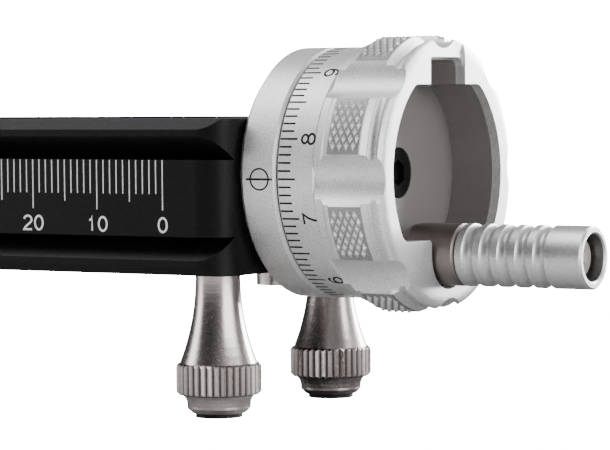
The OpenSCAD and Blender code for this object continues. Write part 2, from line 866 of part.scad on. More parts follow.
// The block is round about the crank's axis. Its back end is round about the hinge too, and
// keeps within a ball that turns in the slot.
module crank_block() {
    color(gunmetal) difference() {
        intersection() {
            turned_x([
                [0, -crank_r],
                [crank_r, -crank_r],
                [crank_r, block_len - block_edge],
                [crank_r - block_edge, block_len],
                [0, block_len]
            ], crank_x, 0, crank_z);
            union() {
                intersection() {
                    bar_y(crank_r, -crank_r, crank_r, crank_x, crank_z);
                    translate([crank_x, 0, crank_z]) sphere(r = block_back_r, $fn = 32);
                }
                translate([crank_x, -crank_r, crank_z - crank_r])
                    cube([block_len, 2 * crank_r, 2 * crank_r]);
            }
        }
        bar_y(hinge_pin_r + run_gap, -crank_r - over, crank_r + over, crank_x, crank_z);
        bar_x(crank_shaft_r + seat_gap, crank_x + block_len - shaft_seat, sleeve_x, 0, crank_z);
    }
}

module crank_shaft() {
    shaft_end = sleeve_x + sleeve_len - sleeve_bore_depth + face_gap;
    color(steel) difference() {
        bar_x(crank_shaft_r, crank_x + block_len - shaft_seat, shaft_end, 0, crank_z);
        bar_x(crank_end_shank_r + seat_gap, shaft_end - crank_end_shank_len, shaft_end + over, 0,
            crank_z);
    }
}

module crank_end_screw() {
    shaft_end = sleeve_x + sleeve_len - sleeve_bore_depth + face_gap;
    color(steel) difference() {
        union() {
            bar_x(crank_end_head_r, shaft_end, shaft_end + crank_end_head_h, 0, crank_z);
            bar_x(crank_end_shank_r, shaft_end - crank_end_shank_len + tip_gap, shaft_end, 0,
                crank_z);
        }
        translate([shaft_end + crank_end_head_h - crank_end_socket_depth, 0, crank_z])
            rotate([0, 90, 0])
                cylinder(r = crank_end_socket_r, h = crank_end_socket_depth + over, $fn = 6);
    }
}

module crank_sleeve() {
    cutter_r = (pow(groove_w / 2, 2) + pow(groove_depth, 2)) / (2 * groove_depth);
    color(silver) difference() {
        turned_x([
            [crank_shaft_r + run_gap, 0],
            [crank_r - sleeve_edge, 0],
            [crank_r, sleeve_edge],
            [crank_r, sleeve_len - sleeve_edge],
            [crank_r - sleeve_edge, sleeve_len],
            [sleeve_bore_r + sleeve_edge, sleeve_len],
            [sleeve_bore_r, sleeve_len - sleeve_edge],
            [sleeve_bore_r, sleeve_len - sleeve_bore_depth],
            [crank_shaft_r + run_gap, sleeve_len - sleeve_bore_depth]
        ], sleeve_x, 0, crank_z);
        for (i = [0 : sleeve_grooves - 1])
            translate([sleeve_x + sleeve_plain + groove_w / 2 + groove_pitch * i, 0, crank_z])
                rotate([0, 90, 0]) rotate_extrude()
                    translate([crank_r + cutter_r - groove_depth, 0]) circle(r = cutter_r, $fn = 48);
    }
}

// Carriage

// Plate with a skirt each side. The front one hooks under the way, the other holds the gib.
function carriage_outline() = [
    [-carriage_y, skirt_z],
    [-carriage_y, plate_z1 - carriage_bevel],
    [carriage_bevel - carriage_y, plate_z1],
    [carriage_y - carriage_bevel, plate_z1],
    [carriage_y, plate_z1 - carriage_bevel],
    [carriage_y, skirt_z],
    [gib_y1 + way_gap, skirt_z],
    [gib_y1 + way_gap, plate_z0],
    [-way_wall_y, plate_z0],
    [-way_wall_y, lip_z],
    [-way_foot_y, skirt_z]
];

module nut_screw_places() {
    for (sx = [-1, 1], sy = [-1, 1])
        translate([carriage_x + sx * nut_screw_x, sy * nut_screw_y, 0]) children();
}

module carriage() {
    color(black) difference() {
        intersection() {
            carried_x(carriage_x0, carriage_x1) polygon(carriage_outline());
            translate([carriage_x, 0, 0]) linear_extrude(height = plate_z1 + over)
                round_rect(carriage_len, carriage_w, carriage_corner_r);
        }
        nut_screw_places() {
            translate([0, 0, plate_z0 - over]) cylinder(r = nut_screw_r + run_gap, h = 2 * plate_t);
            translate([0, 0, plate_z1 - nut_screw_head_h - face_gap])
                cylinder(r = nut_screw_head_r + run_gap, h = nut_screw_head_h + over);
        }
        for (s = [-1, 1]) translate([carriage_x + s * fix_screw_x, fix_screw_y, plate_z0 - over])
            cylinder(r = fix_screw_r + seat_gap, h = plate_t + 2 * over);
        for (s = [-1, 1])
            bar_y(gib_screw_r + seat_gap, gib_y1, carriage_y + over, carriage_x + s * gib_screw_x,
                lock_z);
        bar_y(lock_shank_r + run_gap, gib_y1, carriage_y + over, carriage_x + lock_x, lock_z);
    }
}

module way_gib() {
    color(gunmetal) carried_x(carriage_x0 + carriage_corner_r, carriage_x1 - carriage_corner_r)
        polygon([
            [gib_y1, skirt_z],
            [way_foot_y, skirt_z],
            [way_wall_y, lip_z],
            [way_wall_y, plate_z0 - face_gap],
            [gib_y1, plate_z0 - face_gap]
        ]);
}

module gib_screws() {
    color(steel) for (s = [-1, 1]) difference() {
        bar_y(gib_screw_r, gib_y1, carriage_y - face_gap, carriage_x + s * gib_screw_x, lock_z);
        translate([carriage_x + s * gib_screw_x, carriage_y - gib_screw_socket_depth, lock_z])
            rotate([-90, 0, 0])
                cylinder(r = gib_screw_socket_r, h = gib_screw_socket_depth + over, $fn = 6);
    }
}

module nut_bracket() {
    color(silver) difference() {
        translate([carriage_x - bracket_len / 2, -bracket_w / 2, axis_z - bracket_drop])
            cube([bracket_len, bracket_w, plate_z0 - axis_z + bracket_drop]);
        bar_x(nut_r + seat_gap, carriage_x - bracket_len, carriage_x + bracket_len);
        nut_screw_places() translate([0, 0, plate_z0 - nut_screw_depth])
            cylinder(r = nut_screw_r + seat_gap, h = nut_screw_depth + over);
    }
}

module nut_from(x0, x1, flange_x0, flange_x1) {
    color(bronze) difference() {
        union() {
            bar_x(nut_r, x0, x1);
            bar_x(nut_flange_r, flange_x0, flange_x1);
        }
        bar_x(screw_r + run_gap, x0 - bracket_len, x1 + bracket_len);
    }
}

module drive_nut() {
    x = carriage_x + bracket_len / 2;
    nut_from(x - nut_len, x, x, x + nut_flange_t);
}

module preload_nut() {
    x = carriage_x - bracket_len / 2;
    nut_from(x, x + preload_nut_len, x - nut_flange_t, x);
}

module nut_screws() {
    head_z = plate_z1 - nut_screw_head_h - face_gap;
    color(steel) nut_screw_places() difference() {
        union() {
            translate([0, 0, head_z]) cylinder(r = nut_screw_head_r, h = nut_screw_head_h);
            translate([0, 0, plate_z0 + face_gap - nut_screw_depth])
                cylinder(r = nut_screw_r, h = head_z - plate_z0 - face_gap + nut_screw_depth);
        }
        translate([0, 0, head_z + nut_screw_head_h / 2])
            cylinder(r = nut_screw_r, h = nut_screw_head_h, $fn = 6);
    }
}

// Knurled lock screw of the carriage, which presses on the gib
module carriage_lock() {
    y0 = carriage_y + face_gap;
    color(black) {
        bar_y(lock_shank_r, gib_y1 + face_gap, y0, carriage_x + lock_x, lock_z);
        bar_y(lock_neck_r, y0, y0 + lock_neck_len, carriage_x + lock_x, lock_z);
        translate([carriage_x + lock_x, y0 + lock_neck_len, lock_z]) rotate([-90, 0, 0])
            ridged_band(lock_knob_r, lock_knob_len, lock_ridge, lock_ridges, knob_edge);
    }
}

// Clamp

// Flank of a jaw, from the clamp's seat up: a short upright foot, then 45 degrees inwards
function jaw_flank() = [
    [clamp_half, seat_z],
    [clamp_half, seat_z + flank_foot],
    [jaw_nose, seat_z + flank_foot + flank_h],
    [jaw_nose, jaw_top - clamp_bevel],
    [jaw_nose + clamp_bevel, jaw_top]
];

module clamp_blank(points) {
    intersection() {
        carried_x(carriage_x0, carriage_x1) polygon(points);
        translate([carriage_x, 0, plate_z1 - over]) linear_extrude(height = jaw_top)
            round_rect(carriage_len, 2 * jaw_y1, carriage_corner_r);
    }
}

module clamp_base() {
    color(black) difference() {
        clamp_blank(concat(
            [[base_y1, plate_z1], [base_y1, seat_z]],
            [for (p = jaw_flank()) [-p[0], p[1]]],
            [
                [clamp_y0 + clamp_bevel, jaw_top],
                [clamp_y0, jaw_top - clamp_bevel],
                [clamp_y0, plate_z1 + clamp_bevel],
                [clamp_y0 + clamp_bevel, plate_z1]
            ]
        ));
        translate([carriage_x0 - over, -seat_slot_w / 2, seat_z - seat_slot_depth])
            cube([carriage_len + 2 * over, seat_slot_w, seat_slot_depth + over]);
        bar_y(clamp_screw_r + run_gap, base_y1 - clamp_screw_tail - over, base_y1 + over,
            carriage_x, clamp_screw_z);
        bar_y(clip_r + clip_room, base_y1 - clip_t - 2 * clip_room - jaw_close - face_gap,
            base_y1 + over, carriage_x, clamp_screw_z);
        for (s = [-1, 1])
            bar_y(guide_r + run_gap, base_y1 - guide_len_in - over, base_y1 + over,
                carriage_x + s * guide_x, clamp_screw_z);
        for (s = [-1, 1]) translate([carriage_x + s * fix_screw_x, fix_screw_y, 0]) {
            translate([0, 0, plate_z1 - over])
                cylinder(r = fix_screw_r + run_gap, h = clamp_base_t + over);
            translate([0, 0, seat_z - seat_slot_depth - fix_screw_head_h - face_gap])
                cylinder(r = fix_screw_head_r + run_gap, h = clamp_base_t);
        }
        translate([carriage_x + vial_x, vial_y, jaw_top - vial_h - face_gap])
            cylinder(r = vial_r + seat_gap, h = vial_h + over);
    }
}

module clamp_fixing_screws() {
    head_z = seat_z - seat_slot_depth - fix_screw_head_h - face_gap;
    color(steel) for (s = [-1, 1]) translate([carriage_x + s * fix_screw_x, fix_screw_y, head_z])
        difference() {
            union() {
                cylinder(r = fix_screw_head_r, h = fix_screw_head_h);
                translate([0, 0, -fix_screw_len]) cylinder(r = fix_screw_r, h = fix_screw_len);
            }
            translate([0, 0, fix_screw_head_h - fix_socket_depth])
                cylinder(r = fix_socket_r, h = fix_socket_depth + over, $fn = 6);
        }
}

module level_vial() {
    color([0.75, 0.85, 0.35]) translate([carriage_x + vial_x, vial_y, jaw_top - vial_h])
        cylinder(r = vial_r, h = vial_h);
}

module clamp_jaw() {
    color(black) difference() {
        clamp_blank(concat(
            [[jaw_y0, plate_z1 + face_gap], [jaw_y0, seat_z - face_gap]],
            [[clamp_half, seat_z - face_gap]],
            [for (i = [1 : len(jaw_flank()) - 1]) jaw_flank()[i]],
            [
                [jaw_y1 - clamp_bevel, jaw_top],
                [jaw_y1, jaw_top - clamp_bevel],
                [jaw_y1, plate_z1 + face_gap + clamp_bevel],
                [jaw_y1 - clamp_bevel, plate_z1 + face_gap]
            ]
        ));
        bar_y(clamp_screw_r + run_gap, jaw_y0 - over, jaw_y1 + over, carriage_x, clamp_screw_z);
        for (s = [-1, 1])
            bar_y(guide_r + seat_gap, jaw_y0 - over, jaw_y0 + guide_seat,
                carriage_x + s * guide_x, clamp_screw_z);
    }
}

module guide_pins() {
    color(steel) for (s = [-1, 1])
        bar_y(guide_r, base_y1 - guide_len_in + jaw_close + face_gap, jaw_y0 + guide_seat - face_gap,
            carriage_x + s * guide_x, clamp_screw_z);
}

module clamp_screw() {
    color(steel) bar_y(clamp_screw_r, base_y1 - clamp_screw_tail + jaw_close + face_gap,
        jaw_y1 + face_gap + clamp_neck_len + clamp_knob_len / 2, carriage_x, clamp_screw_z);
}

module clamp_clip() {
    color(steel) difference() {
        bar_y(clip_r, jaw_y0 - face_gap - clip_t, jaw_y0 - face_gap, carriage_x, clamp_screw_z);
        bar_y(clamp_screw_r + seat_gap, jaw_y0 - clip_t - over, jaw_y0 + over, carriage_x,
            clamp_screw_z);
    }
}

module clamp_knob() {
    y0 = jaw_y1 + face_gap;
    color(black) difference() {
        turned_y([
            [0, 0],
            [clamp_neck_r, 0],
            [clamp_neck_r, clamp_neck_len],
            [clamp_knob_r - knob_edge, clamp_neck_len],
            [clamp_knob_r, clamp_neck_len + knob_edge],
            [clamp_knob_r, clamp_neck_len + clamp_knob_len - knob_edge],
            [clamp_knob_r - knob_edge, clamp_neck_len + clamp_knob_len],
            [0, clamp_neck_len + clamp_knob_len]
        ], carriage_x, y0, clamp_screw_z);
        for (i = [0 : clamp_knob_scallops - 1])
            translate([carriage_x, 0, clamp_screw_z])
                rotate([0, 360 * i / clamp_knob_scallops, 0])
                    bar_y(clamp_knob_scallop_r, y0 + clamp_neck_len - over,
                        y0 + clamp_neck_len + clamp_knob_len + over,
                        clamp_knob_r + clamp_knob_scallop_r - clamp_knob_scallop_depth, 0);
        bar_y(clamp_screw_r + seat_gap, y0 - over,
            y0 + clamp_neck_len + clamp_knob_len / 2 + face_gap, carriage_x, clamp_screw_z);
    }
}

rail_body();
stop_screws();
foot_1();
foot_2();
foot_3();
foot_4();
pad_1();
pad_2();
pad_3();
pad_4();
tail_bush();
tail_cap();
index_ring();
ring_screws();
bearing_outer();
bearing_balls();
bearing_inner();
lead_screw();
thrust_collar();
drum();
knob_shell();
crank_core();
knob_bezel();
hub_screw();
hinge_pin();
crank_block();
crank_shaft();
crank_end_screw();
crank_sleeve();
carriage();
way_gib();
gib_screws();
nut_bracket();
drive_nut();
preload_nut();
nut_screws();
carriage_lock();
clamp_base();
clamp_fixing_screws();
level_vial();
clamp_jaw();
guide_pins();
clamp_screw();
clamp_clip();
clamp_knob();
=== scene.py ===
"""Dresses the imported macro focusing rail: finishes, engraved scales, screw threads, light and camera."""

from __future__ import annotations

import logging
import math
from dataclasses import dataclass, field, replace
from enum import Enum
from typing import Callable, Sequence

import bmesh  # noqa: E402
import bpy  # noqa: E402
from mathutils import Matrix, Vector  # noqa: E402


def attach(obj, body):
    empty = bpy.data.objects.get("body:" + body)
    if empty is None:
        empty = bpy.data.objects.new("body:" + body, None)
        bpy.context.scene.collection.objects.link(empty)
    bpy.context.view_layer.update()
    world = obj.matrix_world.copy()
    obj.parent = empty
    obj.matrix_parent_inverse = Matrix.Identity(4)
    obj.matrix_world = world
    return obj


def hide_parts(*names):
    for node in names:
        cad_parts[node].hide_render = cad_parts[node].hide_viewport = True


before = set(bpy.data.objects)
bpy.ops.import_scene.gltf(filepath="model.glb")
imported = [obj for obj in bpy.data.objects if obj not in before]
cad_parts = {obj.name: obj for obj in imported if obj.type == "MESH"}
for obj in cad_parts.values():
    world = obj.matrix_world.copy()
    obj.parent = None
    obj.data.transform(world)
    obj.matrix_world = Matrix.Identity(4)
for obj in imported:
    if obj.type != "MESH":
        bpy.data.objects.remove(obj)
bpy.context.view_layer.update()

log = logging.getLogger("focusing_rail")

MM = 0.001
AXIS_Z = 12.35 * MM
BEAM_END = 98.9 * MM
ZERO_X = 90.0 * MM
FRONT_Y = -19.0 * MM
CRANK_Z = 2.35 * MM
FOOT_X, FOOT_Y = 94.34 * MM, 13.35 * MM
VIAL_TOP = 39.15 * MM
KNURL_LOW, KNURL_HIGH = 17.1 * MM, 17.65 * MM
SLEEVE_R = 4.3 * MM
EDGE_ROUND = 0.05 * MM
MOTTLE_SHARE = 0.25

Colour = tuple[float, float, float]
Link = Callable[..., object]


class Body(Enum):
    """The rigid bodies that pieces ride on."""

    BEAM = "beam"
    HAND_WHEEL = "hand_wheel"
    CRANK = "crank"
    SLEEVE = "sleeve"
    CARRIAGE = "carriage"
    LOCK = "carriage_lock"
    JAW = "jaw"
    CLAMP_KNOB = "clamp_knob"


class Grain(Enum):
    """How the small marks of a finish run."""

    EVEN = "even"
    TURNED_X = "turned_x"
    TURNED_Y = "turned_y"


GRAIN_STRETCH: dict[Grain, tuple[float, float, float]] = {
    Grain.EVEN: (1.0, 1.0, 1.0),
    Grain.TURNED_X: (1.0, 0.06, 0.06),
    Grain.TURNED_Y: (0.06, 1.0, 0.06),
}


def socket(group: bpy.types.NodeTree, name: str, way: str, kind: str, value: object = None) -> None:
    """Adds one socket to a node group's interface.

    Args:
        group: The node group.
        name: The socket's name.
        way: "INPUT" or "OUTPUT".
        kind: The socket's type.
        value: The default value of an input.
    """
    made = group.interface.new_socket(name=name, in_out=way, socket_type=kind)
    if value is not None:
        made.default_value = value


def surface_group() -> bpy.types.NodeTree:
    """Builds the group that gives a finish its grain, its mottling and its varied gloss.

    Returns:
        The node group, with outputs Colour, Roughness and Normal.
    """
    group = bpy.data.node_groups.new("surface_grain", "ShaderNodeTree")
    for name, kind, value in (
        ("Colour", "NodeSocketColor", (0.5, 0.5, 0.5, 1.0)),
        ("Stretch", "NodeSocketVector", (1.0, 1.0, 1.0)),
        ("Grain Scale", "NodeSocketFloat", 5000.0),
        ("Grain Depth", "NodeSocketFloat", 0.1),
        ("Colour Spread", "NodeSocketFloat", 0.1),
        ("Roughness", "NodeSocketFloat", 0.4),
        ("Roughness Spread", "NodeSocketFloat", 0.1),
        ("Edge Round", "NodeSocketFloat", EDGE_ROUND),
    ):
        socket(group, name, "INPUT", kind, value)
    socket(group, "Colour", "OUTPUT", "NodeSocketColor")
    socket(group, "Roughness", "OUTPUT", "NodeSocketFloat")
    socket(group, "Normal", "OUTPUT", "NodeSocketVector")
    nodes, link = group.nodes, group.links.new
    inside, outside = nodes.new("NodeGroupInput"), nodes.new("NodeGroupOutput")
    place = nodes.new("ShaderNodeTexCoord")
    stretched = nodes.new("ShaderNodeVectorMath")
    stretched.operation = "MULTIPLY"
    link(place.outputs["Object"], stretched.inputs[0])
    link(inside.outputs["Stretch"], stretched.inputs[1])
    fine = nodes.new("ShaderNodeTexNoise")
    fine.inputs["Detail"].default_value = 2.0
    link(stretched.outputs[0], fine.inputs["Vector"])
    link(inside.outputs["Grain Scale"], fine.inputs["Scale"])
    broad = nodes.new("ShaderNodeTexNoise")
    broad.inputs["Scale"].default_value = 160.0
    broad.inputs["Detail"].default_value = 3.0
    link(place.outputs["Object"], broad.inputs["Vector"])
    mixed = nodes.new("ShaderNodeMath")
    mixed.operation = "MULTIPLY_ADD"
    link(broad.outputs["Fac"], mixed.inputs[0])
    mixed.inputs[1].default_value = MOTTLE_SHARE
    link(fine.outputs["Fac"], mixed.inputs[2])
    centred = nodes.new("ShaderNodeMath")
    centred.operation = "SUBTRACT"
    link(mixed.outputs[0], centred.inputs[0])
    centred.inputs[1].default_value = (1.0 + MOTTLE_SHARE) / 2
    shade = nodes.new("ShaderNodeMath")
    shade.operation = "MULTIPLY_ADD"
    link(centred.outputs[0], shade.inputs[0])
    link(inside.outputs["Colour Spread"], shade.inputs[1])
    shade.inputs[2].default_value = 1.0
    tint = nodes.new("ShaderNodeVectorMath")
    tint.operation = "SCALE"
    link(inside.outputs["Colour"], tint.inputs[0])
    link(shade.outputs[0], tint.inputs["Scale"])
    link(tint.outputs[0], outside.inputs["Colour"])
    gloss = nodes.new("ShaderNodeMath")
    gloss.operation = "MULTIPLY_ADD"
    gloss.use_clamp = True
    link(centred.outputs[0], gloss.inputs[0])
    link(inside.outputs["Roughness Spread"], gloss.inputs[1])
    link(inside.outputs["Roughness"], gloss.inputs[2])
    link(gloss.outputs[0], outside.inputs["Roughness"])
    rounded = nodes.new("ShaderNodeBevel")
    rounded.samples = 4
    link(inside.outputs["Edge Round"], rounded.inputs["Radius"])
    bump = nodes.new("ShaderNodeBump")
    link(rounded.outputs["Normal"], bump.inputs["Normal"])
    bump.inputs["Distance"].default_value = 0.02 * MM
    link(inside.outputs["Grain Depth"], bump.inputs["Strength"])
    link(fine.outputs["Fac"], bump.inputs["Height"])
    link(bump.outputs["Normal"], outside.inputs["Normal"])
    return group


GRAIN_GROUP = surface_group()


@dataclass(frozen=True)
class Valleys:
    """Where the valleys of a knurl or of ridges lie, and how dark they look: painted shade in those valleys
    and in a bore, or a part's own dark tone such as the vial's cup.
    """

    axis: tuple[float, float, float]
    across: tuple[float, float, float]
    low: float
    high: float
    shades: tuple[tuple[float, float], ...]
    mirrored: bool = False


@dataclass(frozen=True)
class Shoulder:
    """A band round the wheel's axis that is shaded like a rounded shoulder facing along X."""

    start: float
    end: float
    above: float
    lean: float


@dataclass(frozen=True)
class Finish:
    """One finish: a principled shader fed by the shared grain group."""

    name: str
    colour: Colour
    roughness: float
    metallic: float = 0.0
    grain: Grain = Grain.EVEN
    grain_scale: float = 5000.0
    grain_depth: float = 0.2
    colour_spread: float = 0.1
    roughness_spread: float = 0.1
    specular: float = 0.5
    coat: float = 0.0
    edge_round: float = EDGE_ROUND
    valleys: Valleys | None = None
    shoulder: Shoulder | None = None

    def material(self) -> bpy.types.Material:
        """Returns the finish's material, and builds it the first time."""
        found = bpy.data.materials.get(self.name)
        if found is not None:
            return found
        made = bpy.data.materials.new(self.name)
        made.use_nodes = True
        nodes, link = made.node_tree.nodes, made.node_tree.links.new
        shader = nodes["Principled BSDF"]
        group = nodes.new("ShaderNodeGroup")
        group.node_tree = GRAIN_GROUP
        group.inputs["Colour"].default_value = (*self.colour, 1.0)
        group.inputs["Stretch"].default_value = GRAIN_STRETCH[self.grain]
        group.inputs["Grain Scale"].default_value = self.grain_scale
        group.inputs["Grain Depth"].default_value = self.grain_depth
        group.inputs["Colour Spread"].default_value = self.colour_spread
        group.inputs["Roughness"].default_value = self.roughness
        group.inputs["Roughness Spread"].default_value = self.roughness_spread
        group.inputs["Edge Round"].default_value = self.edge_round
        colour = group.outputs["Colour"]
        # painted shade in valleys and bores, or a part's own dark tone, multiplied into the colour
        if self.valleys is not None:
            colour = self.darken_valleys(nodes, link, colour)
        link(colour, shader.inputs["Base Color"])
        link(group.outputs["Roughness"], shader.inputs["Roughness"])
        normal = group.outputs["Normal"]
        if self.shoulder is not None:
            normal = self.lean_shoulder(nodes, link, normal)
        link(normal, shader.inputs["Normal"])
        shader.inputs["Metallic"].default_value = self.metallic
        shader.inputs["Specular IOR Level"].default_value = self.specular
        shader.inputs["Coat Weight"].default_value = self.coat
        return made

    def lean_shoulder(
        self, nodes: bpy.types.Nodes, link: Link, normal: bpy.types.NodeSocket,
    ) -> bpy.types.NodeSocket:
        """Leans the shading normal of the shoulder's band towards +X.

        Args:
            nodes: The material's nodes.
            link: Links two of its sockets.
            normal: The normal before.

        Returns:
            The normal after.
        """
        place = nodes.new("ShaderNodeTexCoord").outputs["Object"]
        along = nodes.new("ShaderNodeSeparateXYZ")
        link(place, along.inputs[0])
        centred = nodes.new("ShaderNodeVectorMath")
        centred.operation = "SUBTRACT"
        link(place, centred.inputs[0])
        centred.inputs[1].default_value = (0.0, 0.0, AXIS_Z)
        flat = nodes.new("ShaderNodeVectorMath")
        flat.operation = "MULTIPLY"
        link(centred.outputs["Vector"], flat.inputs[0])
        flat.inputs[1].default_value = (0.0, 1.0, 1.0)
        out = nodes.new("ShaderNodeVectorMath")
        out.operation = "LENGTH"
        link(flat.outputs["Vector"], out.inputs[0])
        amount = None
        for operation, value, limit in (
            ("GREATER_THAN", along.outputs["X"], self.shoulder.start),
            ("LESS_THAN", along.outputs["X"], self.shoulder.end),
            ("GREATER_THAN", out.outputs["Value"], self.shoulder.above),
        ):
            test = nodes.new("ShaderNodeMath")
            test.operation = operation
            link(value, test.inputs[0])
            test.inputs[1].default_value = limit
            share = nodes.new("ShaderNodeMath")
            share.operation = "MULTIPLY"
            link(test.outputs[0], share.inputs[0])
            if amount is None:
                share.inputs[1].default_value = self.shoulder.lean
            else:
                link(amount, share.inputs[1])
            amount = share.outputs[0]
        push = nodes.new("ShaderNodeCombineXYZ")
        link(amount, push.inputs["X"])
        leaning = nodes.new("ShaderNodeVectorMath")
        leaning.operation = "ADD"
        link(normal, leaning.inputs[0])
        link(push.outputs[0], leaning.inputs[1])
        unit = nodes.new("ShaderNodeVectorMath")
        unit.operation = "NORMALIZE"
        link(leaning.outputs["Vector"], unit.inputs[0])
        return unit.outputs["Vector"]

    def darken_valleys(
        self, nodes: bpy.types.Nodes, link: Link, colour: bpy.types.NodeSocket,
    ) -> bpy.types.NodeSocket:
        """Darkens by distance from the nearest axis: painted shade in the valleys of a knurl or of ridges
        and in a bore, or a part's own dark tone such as the vial's cup.

        Args:
            nodes: The material's nodes.
            link: Links two of its sockets.
            colour: The colour before.

        Returns:
            The colour after.
        """
        last = nodes.new("ShaderNodeTexCoord").outputs["Object"]
        for operation, operand in (
            ("ABSOLUTE" if self.valleys.mirrored else "ADD", (0.0, 0.0, 0.0)),
            ("SUBTRACT", self.valleys.axis),
            ("MULTIPLY", self.valleys.across),
            ("LENGTH", None),
        ):
            step = nodes.new("ShaderNodeVectorMath")
            step.operation = operation
            link(last, step.inputs[0])
            if operand is not None and operation != "ABSOLUTE":
                step.inputs[1].default_value = operand
            last = step.outputs["Value" if operation == "LENGTH" else "Vector"]
        depth = nodes.new("ShaderNodeMapRange")
        link(last, depth.inputs["Value"])
        depth.inputs["From Min"].default_value = self.valleys.low
        depth.inputs["From Max"].default_value = self.valleys.high
        ramp = nodes.new("ShaderNodeValToRGB")
        stops = ramp.color_ramp.elements
        stops[0].color = stops[1].color = (1.0, 1.0, 1.0, 1.0)
        for place, shade in self.valleys.shades:
            stops.new(place).color = (shade, shade, shade, 1.0)
        link(depth.outputs["Result"], ramp.inputs["Fac"])
        tint = nodes.new("ShaderNodeMix")
        tint.data_type = "RGBA"
        tint.blend_type = "MULTIPLY"
        tint.inputs["Factor"].default_value = 1.0
        link(colour, tint.inputs["A"])
        link(ramp.outputs["Color"], tint.inputs["B"])
        return tint.outputs["Result"]


BLACK_ANODISED = Finish(
    "black_anodised", (0.0025, 0.0025, 0.0027), 0.36, 0.0, Grain.EVEN, 6000.0, 1.5, 0.5, 0.4, specular=0.13,
)
BLASTED_SILVER = Finish("blasted_silver", (0.72, 0.72, 0.72), 0.42, 0.74, Grain.EVEN, 8500.0, 0.5, 1.5, 0.12)
# painted shade: the knurl's valleys are darkened by radius near their roots, full colour at the points
KNURL_PAINTED_SHADE = ((0.20, 1.0), (0.30, 0.25), (0.42, 0.60), (0.62, 1.0))
KNURLED_SILVER = replace(
    BLASTED_SILVER,
    name="knurled_silver",
    edge_round=0.015 * MM,
    valleys=Valleys((0, 0, AXIS_Z), (0, 1, 1), KNURL_LOW, KNURL_HIGH, KNURL_PAINTED_SHADE),
    shoulder=Shoulder(117.02 * MM, 118.02 * MM, 16.75 * MM, 1.5),
)
# painted shade: the inside of the sleeve's bore is darkened by its distance from the crank axis
SLEEVE_PAINTED_BORE_SHADE = ((0.01, 0.3), (0.672, 0.3), (0.680, 1.0))
SLEEVE_BORE_PAINTED_SHADE_BAND = Valleys((0, 0, CRANK_Z), (0, 1, 1), 0.0, SLEEVE_R, SLEEVE_PAINTED_BORE_SHADE)
SLEEVE_SILVER = Finish(
    "sleeve_silver", (0.62, 0.62, 0.62), 0.40, 0.92, Grain.EVEN, 9000.0, 0.4, 1.3, 0.1,
    edge_round=0.03 * MM, valleys=SLEEVE_BORE_PAINTED_SHADE_BAND,
)
TURNED_SILVER = Finish(
    "turned_silver", (0.72, 0.72, 0.71), 0.30, 1.0, Grain.TURNED_X, 12000.0, 0.12, 0.06, 0.1,
)
STAINLESS_X = Finish(
    "stainless_turned_x", (0.62, 0.60, 0.57), 0.26, 1.0, Grain.TURNED_X, 12000.0, 0.12, 0.08, 0.12,
)
STAINLESS_Y = Finish(
    "stainless_turned_y", (0.62, 0.60, 0.57), 0.26, 1.0, Grain.TURNED_Y, 12000.0, 0.12, 0.08, 0.12,
)
# painted shade: the valleys between the feet's ridges are darkened by distance from each foot's axis; pieces
# further out keep the full colour
RIDGE_PAINTED_SHADE = ((0.20, 1.0), (0.34, 0.12), (0.50, 0.35), (0.72, 1.0))
FEET_RIDGE_PAINTED_SHADE = Valleys(
    (FOOT_X, FOOT_Y, 0), (1, 1, 0), 4.8 * MM, 5.35 * MM, RIDGE_PAINTED_SHADE, mirrored=True,
)
STAINLESS_FEET = Finish(
    "stainless_feet", (0.50, 0.455, 0.44), 0.25, 1.0, Grain.EVEN, 6500.0, 0.4, 0.9, 0.12,
    valleys=FEET_RIDGE_PAINTED_SHADE,
)
GUNMETAL = Finish(
    "gunmetal_blasted", (0.20, 0.187, 0.184), 0.50, 0.3, Grain.EVEN, 9000.0, 0.2, 0.12, 0.1,
)
GUNMETAL_BAR = Finish(
    "gunmetal_brushed", (0.25, 0.222, 0.208), 0.42, 1.0, Grain.TURNED_X, 14000.0, 0.25, 0.25, 0.14,
)
SCREW_STEEL = Finish("screw_steel", (0.80, 0.75, 0.72), 0.25, 0.6, Grain.EVEN, 9000.0, 0.3, 0.5, 0.1)
BRONZE = Finish(
    "bronze_turned", (0.55, 0.36, 0.14), 0.32, 1.0, Grain.TURNED_X, 12000.0, 0.15, 0.12, 0.12,
)
BLACK_OXIDE = Finish(
    "black_oxide", (0.006, 0.006, 0.006), 0.5, 0.0, Grain.EVEN, 9000.0, 0.2, 0.3, 0.1, specular=0.05,
)
PAD_RUBBER = Finish(
    "pad_rubber", (0.010, 0.010, 0.010), 0.62, 0.0, Grain.EVEN, 7000.0, 0.6, 0.4, 0.15, specular=0.3,
)
SCALE_GREY = Finish("scale_engraving", (0.80, 0.80, 0.80), 0.6, 0.0, Grain.EVEN, 9000.0, 0.3, 0.12, 0.1)
DRUM_INK = Finish(
    "drum_engraving", (0.004, 0.004, 0.004), 0.55, 0.0, Grain.EVEN, 9000.0, 0.2, 0.3, 0.1, specular=0.2,
)
VIAL_SHADES = ((0.02, 1.0), (0.05, 0.02), (0.95, 0.02))
VIAL_CUP = Valleys((0, 0, VIAL_TOP - 0.05 * MM), (0, 0, 1), 0.0, 5.0 * MM, VIAL_SHADES)
VIAL_LIQUID = Finish(
    "vial_liquid", (0.45, 0.66, 0.05), 0.10, 0.0, Grain.EVEN, 3000.0, 0.0, 0.08, 0.02,
    coat=1.0, valleys=VIAL_CUP,
)
VIAL_BUBBLE = Finish(
    "vial_bubble", (0.80, 0.90, 0.45), 0.08, 0.0, Grain.EVEN, 3000.0, 0.0, 0.05, 0.02, coat=1.0,
)

